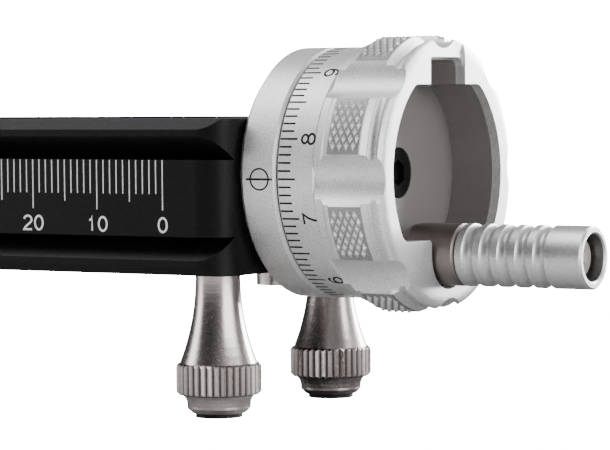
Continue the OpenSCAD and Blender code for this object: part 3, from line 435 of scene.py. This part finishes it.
NODE_FINISHES: dict[str, Finish] = {
    "rail_body": BLACK_ANODISED,
    "stop_screws": STAINLESS_FEET,
    "foot_1": STAINLESS_FEET,
    "foot_2": STAINLESS_FEET,
    "foot_3": STAINLESS_FEET,
    "foot_4": STAINLESS_FEET,
    "pad_1": PAD_RUBBER,
    "pad_2": PAD_RUBBER,
    "pad_3": PAD_RUBBER,
    "pad_4": PAD_RUBBER,
    "tail_bush": BRONZE,
    "tail_cap": BLACK_ANODISED,
    "index_ring": BLASTED_SILVER,
    "ring_screws": STAINLESS_X,
    "bearing_outer": STAINLESS_X,
    "bearing_balls": STAINLESS_X,
    "bearing_inner": STAINLESS_X,
    "lead_screw": STAINLESS_X,
    "thrust_collar": STAINLESS_X,
    "drum": BLASTED_SILVER,
    "knob_shell": KNURLED_SILVER,
    "crank_core": GUNMETAL,
    "knob_bezel": BLASTED_SILVER,
    "hub_screw": BLACK_OXIDE,
    "hinge_pin": STAINLESS_Y,
    "crank_block": GUNMETAL_BAR,
    "crank_shaft": STAINLESS_X,
    "crank_end_screw": SCREW_STEEL,
    "crank_sleeve": SLEEVE_SILVER,
    "carriage": BLACK_ANODISED,
    "way_gib": GUNMETAL,
    "gib_screws": STAINLESS_Y,
    "nut_bracket": TURNED_SILVER,
    "drive_nut": BRONZE,
    "preload_nut": BRONZE,
    "nut_screws": STAINLESS_FEET,
    "carriage_lock": BLACK_ANODISED,
    "clamp_base": BLACK_ANODISED,
    "clamp_fixing_screws": STAINLESS_FEET,
    "level_vial": VIAL_LIQUID,
    "clamp_jaw": BLACK_ANODISED,
    "guide_pins": STAINLESS_Y,
    "clamp_screw": STAINLESS_Y,
    "clamp_clip": STAINLESS_Y,
    "clamp_knob": BLACK_ANODISED,
}


def dress_nodes() -> None:
    """Gives every CAD node its finish."""
    for name, finish in NODE_FINISHES.items():
        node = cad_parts[name]
        node.data.materials.clear()
        node.data.materials.append(finish.material())
        log.info("dressed %s with %s", name, finish.name)


def piece(name: str, mesh: bmesh.types.BMesh, finish: Finish, body: Body) -> bpy.types.Object:
    """Turns a bmesh into a piece of the object, at the origin, riding on a body.

    Args:
        name: The piece's name.
        mesh: The finished bmesh, in metres in the row frame. It is freed.
        finish: The piece's finish.
        body: The body that it rides on.

    Returns:
        The new object.
    """
    data = bpy.data.meshes.new(name)
    mesh.to_mesh(data)
    mesh.free()
    data.materials.append(finish.material())
    made = bpy.data.objects.new(name, data)
    bpy.context.scene.collection.objects.link(made)
    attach(made, body.value)
    log.info("made %s with %d faces", name, len(data.polygons))
    return made


def add_block(
    mesh: bmesh.types.BMesh, low: Sequence[float], high: Sequence[float],
) -> list[bmesh.types.BMVert]:
    """Adds a closed block between two corners.

    Args:
        mesh: The bmesh that gets the block.
        low: Its lowest corner.
        high: Its highest corner.

    Returns:
        The block's vertices.
    """
    size = [b - a for a, b in zip(low, high)]
    centre = [(a + b) / 2 for a, b in zip(low, high)]
    place = Matrix.Translation(centre) @ Matrix.Diagonal((*size, 1.0))
    return bmesh.ops.create_cube(mesh, size=1.0, matrix=place)["verts"]


def turned(
    mesh: bmesh.types.BMesh, outline: Sequence[tuple[float, float]], steps: int, place: Matrix,
) -> None:
    """Adds a solid turned about the X axis.

    Args:
        mesh: The bmesh that gets the solid.
        outline: Its points from axis to axis, as (distance along X, radius).
        steps: The number of facets round it.
        place: Where the solid goes.
    """
    part = bmesh.new()
    points = [part.verts.new((x, r, 0.0)) for x, r in outline]
    edges = [part.edges.new(pair) for pair in zip(points, points[1:])]
    bmesh.ops.spin(
        part, geom=points + edges, cent=(0, 0, 0), axis=(1, 0, 0),
        angle=math.tau, steps=steps, use_merge=True,
    )
    bmesh.ops.remove_doubles(part, verts=part.verts, dist=1e-7)
    join(mesh, part, place)


def join(mesh: bmesh.types.BMesh, part: bmesh.types.BMesh, place: Matrix) -> None:
    """Puts one closed bmesh into another, with its faces outwards.

    Args:
        mesh: The bmesh that grows.
        part: The bmesh that is added. It is freed.
        place: Where the added part goes.
    """
    bmesh.ops.recalc_face_normals(part, faces=part.faces)
    bmesh.ops.transform(part, matrix=place, verts=part.verts)
    data = bpy.data.meshes.new("part")
    part.to_mesh(data)
    part.free()
    mesh.from_mesh(data)
    bpy.data.meshes.remove(data)


@dataclass(frozen=True)
class Thread:
    """A screw thread: one closed ridge that winds round the X axis."""

    pitch: float
    root_r: float
    crest_r: float
    turns: int
    root_share: float = 0.88
    crest_share: float = 0.36
    steps: int = 20

    def add(self, mesh: bmesh.types.BMesh, place: Matrix) -> None:
        """Adds the ridge.

        Args:
            mesh: The bmesh that gets the ridge.
            place: Where its start on the axis goes.
        """
        part = bmesh.new()
        root, crest = self.root_share * self.pitch / 2, self.crest_share * self.pitch / 2
        corners = ((-root, self.root_r), (root, self.root_r), (crest, self.crest_r), (-crest, self.crest_r))
        face = part.faces.new([part.verts.new((x, r, 0.0)) for x, r in corners])
        bmesh.ops.spin(
            part, geom=[*face.verts, *face.edges, face], cent=(0, 0, 0), axis=(1, 0, 0),
            dvec=(self.pitch / self.steps, 0, 0), angle=math.tau * self.turns, steps=self.steps * self.turns,
        )
        join(mesh, part, place)


Point = tuple[float, float]


def arc(middle: Point, radii: Point, start: float, end: float, steps: int = 14) -> list[Point]:
    """Returns the points of an elliptical arc.

    Args:
        middle: The ellipse's centre.
        radii: Its radii along X and Y.
        start: The first angle in degrees, from X towards Y.
        end: The last angle in degrees.
        steps: The number of straight pieces.
    """
    turns = [math.radians(start + (end - start) * i / steps) for i in range(steps + 1)]
    return [(middle[0] + radii[0] * math.cos(t), middle[1] + radii[1] * math.sin(t)) for t in turns]


# Middle lines of plain engraved figures in a box one wide and one high
SIX_STROKES = (
    arc((0.52, 0.48), (0.52, 0.52), 48, 190, 16),
    arc((0.5, 0.32), (0.5, 0.32), 0, 360, 24),
)
FIGURES: dict[str, tuple[list[Point], ...]] = {
    "0": (arc((0.5, 0.5), (0.5, 0.5), 0, 360, 32),),
    "1": ([(0.22, 0.77), (0.42, 0.80), (0.53, 0.88), (0.58, 1.0), (0.58, 0.0)],),
    "2": (
        arc((0.5, 0.72), (0.48, 0.28), 172, -35)
        + [(0.62, 0.41), (0.30, 0.24), (0.10, 0.12), (0.0, 0.0), (1.0, 0.0)],
    ),
    "3": (arc((0.47, 0.75), (0.42, 0.25), 160, -90) + arc((0.47, 0.25), (0.50, 0.25), 90, -165),),
    "4": ([(0.74, 0.0), (0.74, 1.0), (0.0, 0.30), (1.0, 0.30)],),
    "5": ([(0.92, 1.0), (0.20, 1.0), (0.10, 0.50)] + arc((0.48, 0.32), (0.50, 0.32), 130, -160),),
    "6": SIX_STROKES,
    "7": ([(0.0, 1.0), (1.0, 1.0), (0.66, 0.68), (0.45, 0.34), (0.36, 0.0)],),
    "8": (arc((0.5, 0.76), (0.42, 0.24), -90, 270, 24), arc((0.5, 0.26), (0.5, 0.26), -90, 270, 24)),
    "9": tuple([(1.0 - x, 1.0 - y) for x, y in stroke] for stroke in SIX_STROKES),
}


def add_stroke(mesh: bmesh.types.BMesh, line: Sequence[Point], weight: float, depth: float) -> None:
    """Adds one stroke of a figure as a closed flat solid, as thick in Z as it is deep.

    Args:
        mesh: The bmesh that gets the stroke.
        line: The points of its middle line.
        weight: Its width.
        depth: Its thickness.
    """
    points = [Vector(point) for point in line]
    closed = (points[0] - points[-1]).length < weight / 100
    if closed:
        points = points[:-1]
    count = len(points)
    rings = []
    for i, point in enumerate(points):
        before = points[i - 1] if closed or i > 0 else point
        after = points[(i + 1) % count] if closed or i < count - 1 else point
        into, out = point - before, after - point
        into = into.normalized() if into.length else out.normalized()
        out = out.normalized() if out.length else into
        ahead = (into + out).normalized()
        reach = weight / 2 / max(0.5, ahead.dot(out))
        side = Vector((-ahead.y, ahead.x)) * reach
        corners = [(point + side, 1), (point - side, 1), (point - side, -1), (point + side, -1)]
        rings.append([mesh.verts.new((*flat, up * depth / 2)) for flat, up in corners])
    pairs = list(zip(rings, rings[1:] + rings[:1]))
    faces = []
    for near, far in pairs if closed else pairs[:-1]:
        faces += [mesh.faces.new((near[k], near[(k + 1) % 4], far[(k + 1) % 4], far[k])) for k in range(4)]
    if not closed:
        faces += [mesh.faces.new(rings[0]), mesh.faces.new(rings[-1])]
    bmesh.ops.recalc_face_normals(mesh, faces=faces)


def lettering(text: str, height: float, width_share: float, depth: float, weight: float) -> bpy.types.Mesh:
    """Makes a plain number as closed flat solids, centred on the origin in X and Y.

    Args:
        text: The number.
        height: The height of a figure.
        width_share: The width of a figure as a share of its height.
        depth: The thickness.
        weight: The width of a stroke.

    Returns:
        The mesh.
    """
    made = bmesh.new()
    across, up = width_share * height - weight, height - weight
    step = across + 1.9 * weight
    for i, figure in enumerate(text):
        middle = (i - (len(text) - 1) / 2) * step
        for stroke in FIGURES[figure]:
            line = [(middle + (x - 0.5) * across, (y - 0.5) * up) for x, y in stroke]
            add_stroke(made, line, weight, depth)
    data = bpy.data.meshes.new("figures")
    made.to_mesh(data)
    made.free()
    return data


@dataclass
class BeamScale:
    """The millimetre scale on the front of the beam."""

    count: int = 120
    top: float = AXIS_Z + 1.93 * MM
    lengths: dict[int, float] = field(default_factory=lambda: {10: 6.2 * MM, 5: 5.2 * MM, 1: 4.2 * MM})
    width: float = 0.15 * MM
    proud: float = 0.012 * MM
    sunk: float = 0.03 * MM
    figure_height: float = 2.0 * MM
    figure_weight: float = 0.27 * MM
    figure_z: float = AXIS_Z - 6.1 * MM

    def build(self) -> None:
        """Makes the marks and the figures."""
        marks = bmesh.new()
        for i in range(self.count + 1):
            step = 10 if i % 10 == 0 else 5 if i % 5 == 0 else 1
            x = ZERO_X - i * MM
            add_block(
                marks,
                (x - self.width / 2, FRONT_Y - self.proud, self.top - self.lengths[step]),
                (x + self.width / 2, FRONT_Y + self.sunk, self.top),
            )
        piece("scale_marks", marks, SCALE_GREY, Body.BEAM)
        figures = bmesh.new()
        for i in range(0, self.count + 1, 10):
            flat = lettering(str(i), self.figure_height, 0.75, self.sunk + self.proud, self.figure_weight)
            place = Vector((ZERO_X - i * MM, FRONT_Y + (self.sunk - self.proud) / 2, self.figure_z))
            flat.transform(Matrix.Translation(place) @ Matrix.Rotation(math.pi / 2, 4, "X"))
            figures.from_mesh(flat)
            bpy.data.meshes.remove(flat)
        piece("scale_figures", figures, SCALE_GREY, Body.BEAM)


@dataclass
class DrumScale:
    """The hundred marks and ten figures round the drum."""

    radius: float = 15.775 * MM
    start_x: float = BEAM_END + 5.8 * MM + 0.2 * MM
    marks: int = 100
    index_reading: float = 75.0
    index_angle: float = math.radians(-1.4)
    short: float = 1.75 * MM
    long: float = 2.43 * MM
    width: float = 0.24 * MM
    proud: float = 0.015 * MM
    sunk: float = 0.04 * MM
    figure_height: float = 2.1 * MM
    figure_weight: float = 0.28 * MM
    figure_gap: float = 0.5 * MM

    def angle(self, mark: float) -> float:
        """Returns a mark's angle from the front (-Y) towards the top (+Z)."""
        return self.index_angle + (mark - self.index_reading) * math.tau / self.marks

    def wrap(self, mesh: bpy.types.Mesh, angle: float) -> None:
        """Bends a flat mesh round the drum.

        Args:
            mesh: A mesh whose X runs round the drum and Y towards the beam, centred on the origin.
            angle: Where its centre goes.
        """
        for vertex in mesh.vertices:
            along = self.start_x + self.long + self.figure_gap + self.figure_height / 2 - vertex.co.y
            turn = angle + vertex.co.x / self.radius
            out = self.radius + (self.proud if vertex.co.z > 0 else -self.sunk)
            vertex.co = (along, -out * math.cos(turn), AXIS_Z + out * math.sin(turn))

    def build(self) -> None:
        """Makes the marks and the figures."""
        marks = bmesh.new()
        for i in range(self.marks):
            length = self.long if i % 5 == 0 else self.short
            verts = add_block(
                marks,
                (self.start_x, -self.radius - self.proud, -self.width / 2),
                (self.start_x + length, -self.radius + self.sunk, self.width / 2),
            )
            turn = Matrix.Translation((0, 0, AXIS_Z)) @ Matrix.Rotation(-self.angle(i), 4, "X")
            bmesh.ops.transform(marks, matrix=turn, verts=verts)
        piece("drum_marks", marks, DRUM_INK, Body.HAND_WHEEL)
        figures = bmesh.new()
        for i in range(10):
            flat = lettering(str(i), self.figure_height, 0.75, self.sunk + self.proud, self.figure_weight)
            self.wrap(flat, self.angle(10 * i))
            figures.from_mesh(flat)
            bpy.data.meshes.remove(flat)
        bmesh.ops.recalc_face_normals(figures, faces=figures.faces)
        piece("drum_figures", figures, DRUM_INK, Body.HAND_WHEEL)


@dataclass
class IndexMark:
    """The reading line and its circle on the fixed ring."""

    radius: float = 15.8 * MM
    angle: float = math.radians(-1.55)
    middle: float = BEAM_END + 3.25 * MM
    circle_r: float = 1.30 * MM
    circle_w: float = 0.21 * MM
    line_half: float = 1.9 * MM
    line_w: float = 0.26 * MM
    proud: float = 0.015 * MM
    sunk: float = 0.04 * MM

    def build(self) -> None:
        """Makes the line and the circle."""
        made = bmesh.new()
        add_block(
            made,
            (self.middle - self.line_half, -self.radius - self.proud, -self.line_w / 2),
            (self.middle + self.line_half, -self.radius + self.sunk, self.line_w / 2),
        )
        hoop = bmesh.new()
        section = add_block(
            hoop,
            (self.middle + self.circle_r - self.circle_w / 2, -self.sunk, 0.0),
            (self.middle + self.circle_r + self.circle_w / 2, self.proud, 0.0),
        )
        bmesh.ops.remove_doubles(hoop, verts=section, dist=1e-9)
        bmesh.ops.spin(
            hoop, geom=hoop.verts[:] + hoop.edges[:], cent=(self.middle, 0, 0), axis=(0, 1, 0),
            angle=math.tau, steps=48, use_merge=True,
        )
        bmesh.ops.remove_doubles(hoop, verts=hoop.verts, dist=1e-8)
        for vertex in hoop.verts:
            out = self.radius + vertex.co.y
            turn = vertex.co.z / self.radius
            vertex.co = (vertex.co.x, -out * math.cos(turn), out * math.sin(turn))
        bmesh.ops.recalc_face_normals(hoop, faces=hoop.faces)
        data = bpy.data.meshes.new("hoop")
        hoop.to_mesh(data)
        hoop.free()
        made.from_mesh(data)
        bpy.data.meshes.remove(data)
        turn = Matrix.Translation((0, 0, AXIS_Z)) @ Matrix.Rotation(-self.angle, 4, "X")
        bmesh.ops.transform(made, matrix=turn, verts=made.verts)
        piece("index_mark", made, DRUM_INK, Body.BEAM)


@dataclass
class KnobKnurl:
    """The outermost points of the knurl, which fill the grip band up to its edges."""

    lands: int = 8
    first_land: float = math.radians(1.5)
    middle: float = BEAM_END + 15.91 * MM
    column: float = 1.82 * MM
    row: float = 0.85 * MM
    root_r: float = 17.27 * MM
    tip_r: float = 17.65 * MM
    reach: float = 0.36 * MM
    reach_round: float = 0.765 * MM

    def build(self) -> None:
        """Makes the points as four-sided pyramids."""
        made = bmesh.new()
        across, along = self.reach, self.reach_round
        corners = ((-across, 0, 0), (0, -along, 0), (across, 0, 0), (0, along, 0))
        for land in range(self.lands):
            middle = self.first_land + math.tau * (land + 0.5) / self.lands
            for row in (-2, 0, 2):
                for side in (-1, 1):
                    turn = Matrix.Rotation(middle + row * self.row / self.root_r, 4, "X")
                    point = bmesh.new()
                    foot = [point.verts.new(corner) for corner in corners]
                    tip = point.verts.new((0, 0, self.tip_r - self.root_r))
                    point.faces.new(foot)
                    for i in range(4):
                        point.faces.new((foot[i], foot[(i + 1) % 4], tip))
                    place = Matrix.Translation((self.middle + side * self.column, 0, AXIS_Z))
                    join(made, point, place @ turn @ Matrix.Translation((0, 0, self.root_r)))
        piece("knurl_edges", made, KNURLED_SILVER, Body.HAND_WHEEL)


UPRIGHT = Matrix.Rotation(-math.pi / 2, 4, "Y")


@dataclass
class LeadScrew:
    """The lead screw with its real thread, in place of the plain solid."""

    crest_r: float = 4.0 * MM
    root_r: float = 3.45 * MM
    pitch: float = 1.0 * MM
    journal_r: float = 3.0 * MM
    tap_r: float = 1.65 * MM
    tail: float = -97.2 * MM
    thread_start: float = -88.6 * MM
    thread_end: float = 84.0 * MM
    shoulder: float = 108.0 * MM
    nose: float = 109.61 * MM
    tap_end: float = 100.61 * MM

    def build(self) -> None:
        """Makes the core and the thread."""
        made = bmesh.new()
        outline = (
            (self.tail, 0.0), (self.tail, self.journal_r),
            (self.thread_start, self.journal_r), (self.thread_start, self.root_r),
            (self.thread_end, self.root_r), (self.thread_end, self.crest_r),
            (self.shoulder, self.crest_r), (self.shoulder, self.journal_r),
            (self.nose, self.journal_r), (self.nose, self.tap_r),
            (self.tap_end, self.tap_r), (self.tap_end, 0.0),
        )
        axis = Matrix.Translation((0, 0, AXIS_Z))
        turned(made, outline, 48, axis)
        turns = int((self.thread_end - self.thread_start) / self.pitch) - 1
        thread = Thread(self.pitch, self.root_r - 0.05 * MM, self.crest_r, turns)
        thread.add(made, axis @ Matrix.Translation((self.thread_start + self.pitch, 0, 0)))
        threaded = piece("lead_screw_threaded", made, STAINLESS_X, Body.HAND_WHEEL)
        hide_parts("lead_screw")


@dataclass
class SocketThreads:
    """The threads in the two tripod sockets."""

    sockets: tuple[tuple[float, float, float, float], ...] = (
        (0.0, 4.05 * MM, 1.5875 * MM, 4.4 * MM),
        (-25.0 * MM, 2.55 * MM, 1.27 * MM, 4.0 * MM),
    )
    relief: float = 0.07 * MM
    sunk: float = 0.1 * MM

    def build(self) -> None:
        """Makes both threads."""
        made = bmesh.new()
        for x, wall, pitch, depth in self.sockets:
            turns = int((depth - pitch) / pitch)
            thread = Thread(pitch, wall + self.sunk, wall - self.relief, turns, 0.8, 0.2, 40)
            thread.add(made, Matrix.Translation((x, 0, pitch * 0.7)) @ UPRIGHT)
        piece("socket_threads", made, STAINLESS_FEET, Body.BEAM)


@dataclass
class LevelVial:
    """The ring, the bubble and the circle of the bull's-eye level."""

    x: float = 9.25 * MM
    y: float = -22.15 * MM
    top: float = VIAL_TOP
    proud: float = 0.02 * MM
    sunk: float = 0.05 * MM

    def ring(self, made: bmesh.types.BMesh, inner: float, outer: float) -> None:
        """Adds one flat ring on top of the vial.

        Args:
            made: The bmesh that gets the ring.
            inner: The ring's inner radius.
            outer: The ring's outer radius.
        """
        low, high = -self.sunk, self.proud
        outline = ((low, inner), (low, outer), (high, outer), (high, inner), (low, inner))
        turned(made, outline, 48, Matrix.Translation((self.x, self.y, self.top)) @ UPRIGHT)

    def build(self) -> None:
        """Makes the three pieces."""
        rim = bmesh.new()
        self.ring(rim, 3.75 * MM, 4.45 * MM)
        piece("vial_rim", rim, TURNED_SILVER, Body.CARRIAGE)
        circle = bmesh.new()
        self.ring(circle, 1.5 * MM, 1.7 * MM)
        piece("vial_circle", circle, DRUM_INK, Body.CARRIAGE)
        bubble = bmesh.new()
        low, high, wide = -self.sunk, self.proud, 1.2 * MM
        disc = ((low, 0.0), (low, wide), (high / 2, wide), (high, 1.0 * MM), (high, 0.0))
        turned(bubble, disc, 48, Matrix.Translation((self.x, self.y, self.top)) @ UPRIGHT)
        piece("vial_bubble", bubble, VIAL_BUBBLE, Body.CARRIAGE)


@dataclass
class Studio:
    """The camera of the photograph, its floor and its light."""

    place: Vector = field(default_factory=lambda: Vector((0.294097, -0.312699, 0.022464)))
    yaw: float = math.radians(31.98)
    pitch: float = math.radians(-2.619)
    roll: float = math.radians(-0.478)
    lens: float = 170.846
    floor_z: float = -17.8 * MM
    floor_glow: float = 30.0
    backdrop: float = 30.0
    bright_side: float = math.radians(45.0)

    def camera(self) -> None:
        """Places the camera."""
        ahead = Vector((
            -math.sin(self.yaw) * math.cos(self.pitch),
            math.cos(self.yaw) * math.cos(self.pitch),
            math.sin(self.pitch),
        ))
        right = Vector((math.cos(self.yaw), math.sin(self.yaw), 0.0))
        up = right.cross(ahead)
        right2 = math.cos(self.roll) * right + math.sin(self.roll) * up
        up2 = -math.sin(self.roll) * right + math.cos(self.roll) * up
        data = bpy.data.cameras.new("camera")
        data.lens = self.lens
        data.sensor_width = 36.0
        data.clip_start, data.clip_end = 0.01, 20.0
        made = bpy.data.objects.new("camera", data)
        bpy.context.scene.collection.objects.link(made)
        turn = Matrix((right2, up2, -ahead)).transposed().to_4x4()
        made.matrix_world = Matrix.Translation(self.place) @ turn
        bpy.context.scene.camera = made

    def floor(self) -> None:
        """Lays the floor: pale in front and darker towards the back, which is painted shade under and behind
        the rail.
        """
        mesh = bmesh.new()
        place = Matrix.Translation((0, 0, self.floor_z))
        bmesh.ops.create_grid(mesh, x_segments=1, y_segments=1, size=6.0, matrix=place)
        data = bpy.data.meshes.new("floor")
        mesh.to_mesh(data)
        mesh.free()
        made = bpy.data.objects.new("floor", data)
        bpy.context.scene.collection.objects.link(made)
        matt = bpy.data.materials.new("floor_paper_painted_shade")
        matt.use_nodes = True
        nodes, link = matt.node_tree.nodes, matt.node_tree.links.new
        shader = nodes["Principled BSDF"]
        where = nodes.new("ShaderNodeSeparateXYZ")
        link(nodes.new("ShaderNodeTexCoord").outputs["Object"], where.inputs[0])
        # painted shade: the floor's colour runs from pale in front to dark under and behind the rail
        shade = nodes.new("ShaderNodeMapRange")
        link(where.outputs["Y"], shade.inputs["Value"])
        for name, value in (
            ("From Min", -60.0 * MM), ("From Max", 10.0 * MM), ("To Min", 0.85), ("To Max", 0.12),
        ):
            shade.inputs[name].default_value = value
        link(shade.outputs["Result"], shader.inputs["Base Color"])
        shader.inputs["Roughness"].default_value = 0.9
        shader.inputs["Specular IOR Level"].default_value = 0.0
        shader.inputs["Emission Color"].default_value = (1.0, 1.0, 1.0, 1.0)
        glow = nodes.new("ShaderNodeMath")
        glow.operation = "MULTIPLY"
        link(nodes.new("ShaderNodeLightPath").outputs["Is Camera Ray"], glow.inputs[0])
        glow.inputs[1].default_value = self.floor_glow
        link(glow.outputs[0], shader.inputs["Emission Strength"])
        data.materials.append(matt)

    def softbox(
        self, name: str, place: Sequence[float], target: Sequence[float],
        size: tuple[float, float], power: float,
    ) -> None:
        """Hangs one rectangular area light.

        Args:
            name: The light's name.
            place: Where it hangs.
            target: The point that it faces.
            size: Its width and height.
            power: Its power in watts.
        """
        data = bpy.data.lights.new(name, "AREA")
        data.shape = "RECTANGLE"
        data.size, data.size_y = size
        data.energy = power
        made = bpy.data.objects.new(name, data)
        bpy.context.scene.collection.objects.link(made)
        made.location = place
        made.rotation_euler = (Vector(target) - Vector(place)).to_track_quat("-Z", "Y").to_euler()

    def light(self) -> None:
        """Sets the soft boxes and the surrounding light."""
        world = bpy.data.worlds.new("studio")
        bpy.context.scene.world = world
        world.use_nodes = True
        nodes, link = world.node_tree.nodes, world.node_tree.links.new
        sky = nodes["Background"]
        sky.inputs["Color"].default_value = (1.0, 1.0, 1.0, 1.0)
        where = nodes.new("ShaderNodeTexCoord")
        towards = nodes.new("ShaderNodeVectorMath")
        towards.operation = "DOT_PRODUCT"
        link(where.outputs["Generated"], towards.inputs[0])
        towards.inputs[1].default_value = (math.cos(self.bright_side), math.sin(self.bright_side), 0.0)
        shade = nodes.new("ShaderNodeMapRange")
        shade.interpolation_type = "SMOOTHSTEP"
        link(towards.outputs["Value"], shade.inputs["Value"])
        for name, value in (("From Min", -0.65), ("From Max", 0.9), ("To Min", 0.06), ("To Max", 0.9)):
            shade.inputs[name].default_value = value
        height = nodes.new("ShaderNodeSeparateXYZ")
        link(where.outputs["Generated"], height.inputs[0])
        rise = nodes.new("ShaderNodeMapRange")
        link(height.outputs["Z"], rise.inputs["Value"])
        for name, value in (("From Min", 0.0), ("From Max", 0.9), ("To Min", 0.6), ("To Max", 1.1)):
            rise.inputs[name].default_value = value
        around = nodes.new("ShaderNodeMath")
        around.operation = "MULTIPLY"
        link(shade.outputs["Result"], around.inputs[0])
        link(rise.outputs["Result"], around.inputs[1])
        seen = nodes.new("ShaderNodeMix")
        seen.data_type = "FLOAT"
        link(nodes.new("ShaderNodeLightPath").outputs["Is Camera Ray"], seen.inputs["Factor"])
        link(around.outputs[0], seen.inputs["A"])
        seen.inputs["B"].default_value = self.backdrop
        link(seen.outputs["Result"], sky.inputs["Strength"])
        for name, azimuth, height, size, power in (
            ("key", -160.0, 0.80, (0.6, 0.8), 7.0),
            ("left", -153.0, 0.15, (0.4, 0.8), 5.5),
            ("right", -8.0, 0.12, (0.8, 0.6), 9.0),
            ("back", 72.0, 0.25, (0.45, 0.7), 27.0),
        ):
            reach = 0.5 if name == "key" else 0.9
            turn = math.radians(azimuth)
            place = (0.1 + reach * math.cos(turn), reach * math.sin(turn), height)
            self.softbox(name, place, (0.1, 0.0, 0.0), size, power)

    def build(self) -> None:
        """Makes the whole studio."""
        self.floor()
        self.camera()
        self.light()


def write_sizes() -> None:
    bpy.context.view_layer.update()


def main() -> None:
    """Builds the pieces, the finishes and the studio in order."""
    logging.basicConfig(level=logging.INFO, format="%(name)s: %(message)s")
    steps: list[Callable[[], None]] = [
        dress_nodes,
        BeamScale().build,
        DrumScale().build,
        IndexMark().build,
        KnobKnurl().build,
        LeadScrew().build,
        SocketThreads().build,
        LevelVial().build,
        Studio().build,
        write_sizes,
    ]
    for step in steps:
        step()


if __name__ == "__main__":
    main()
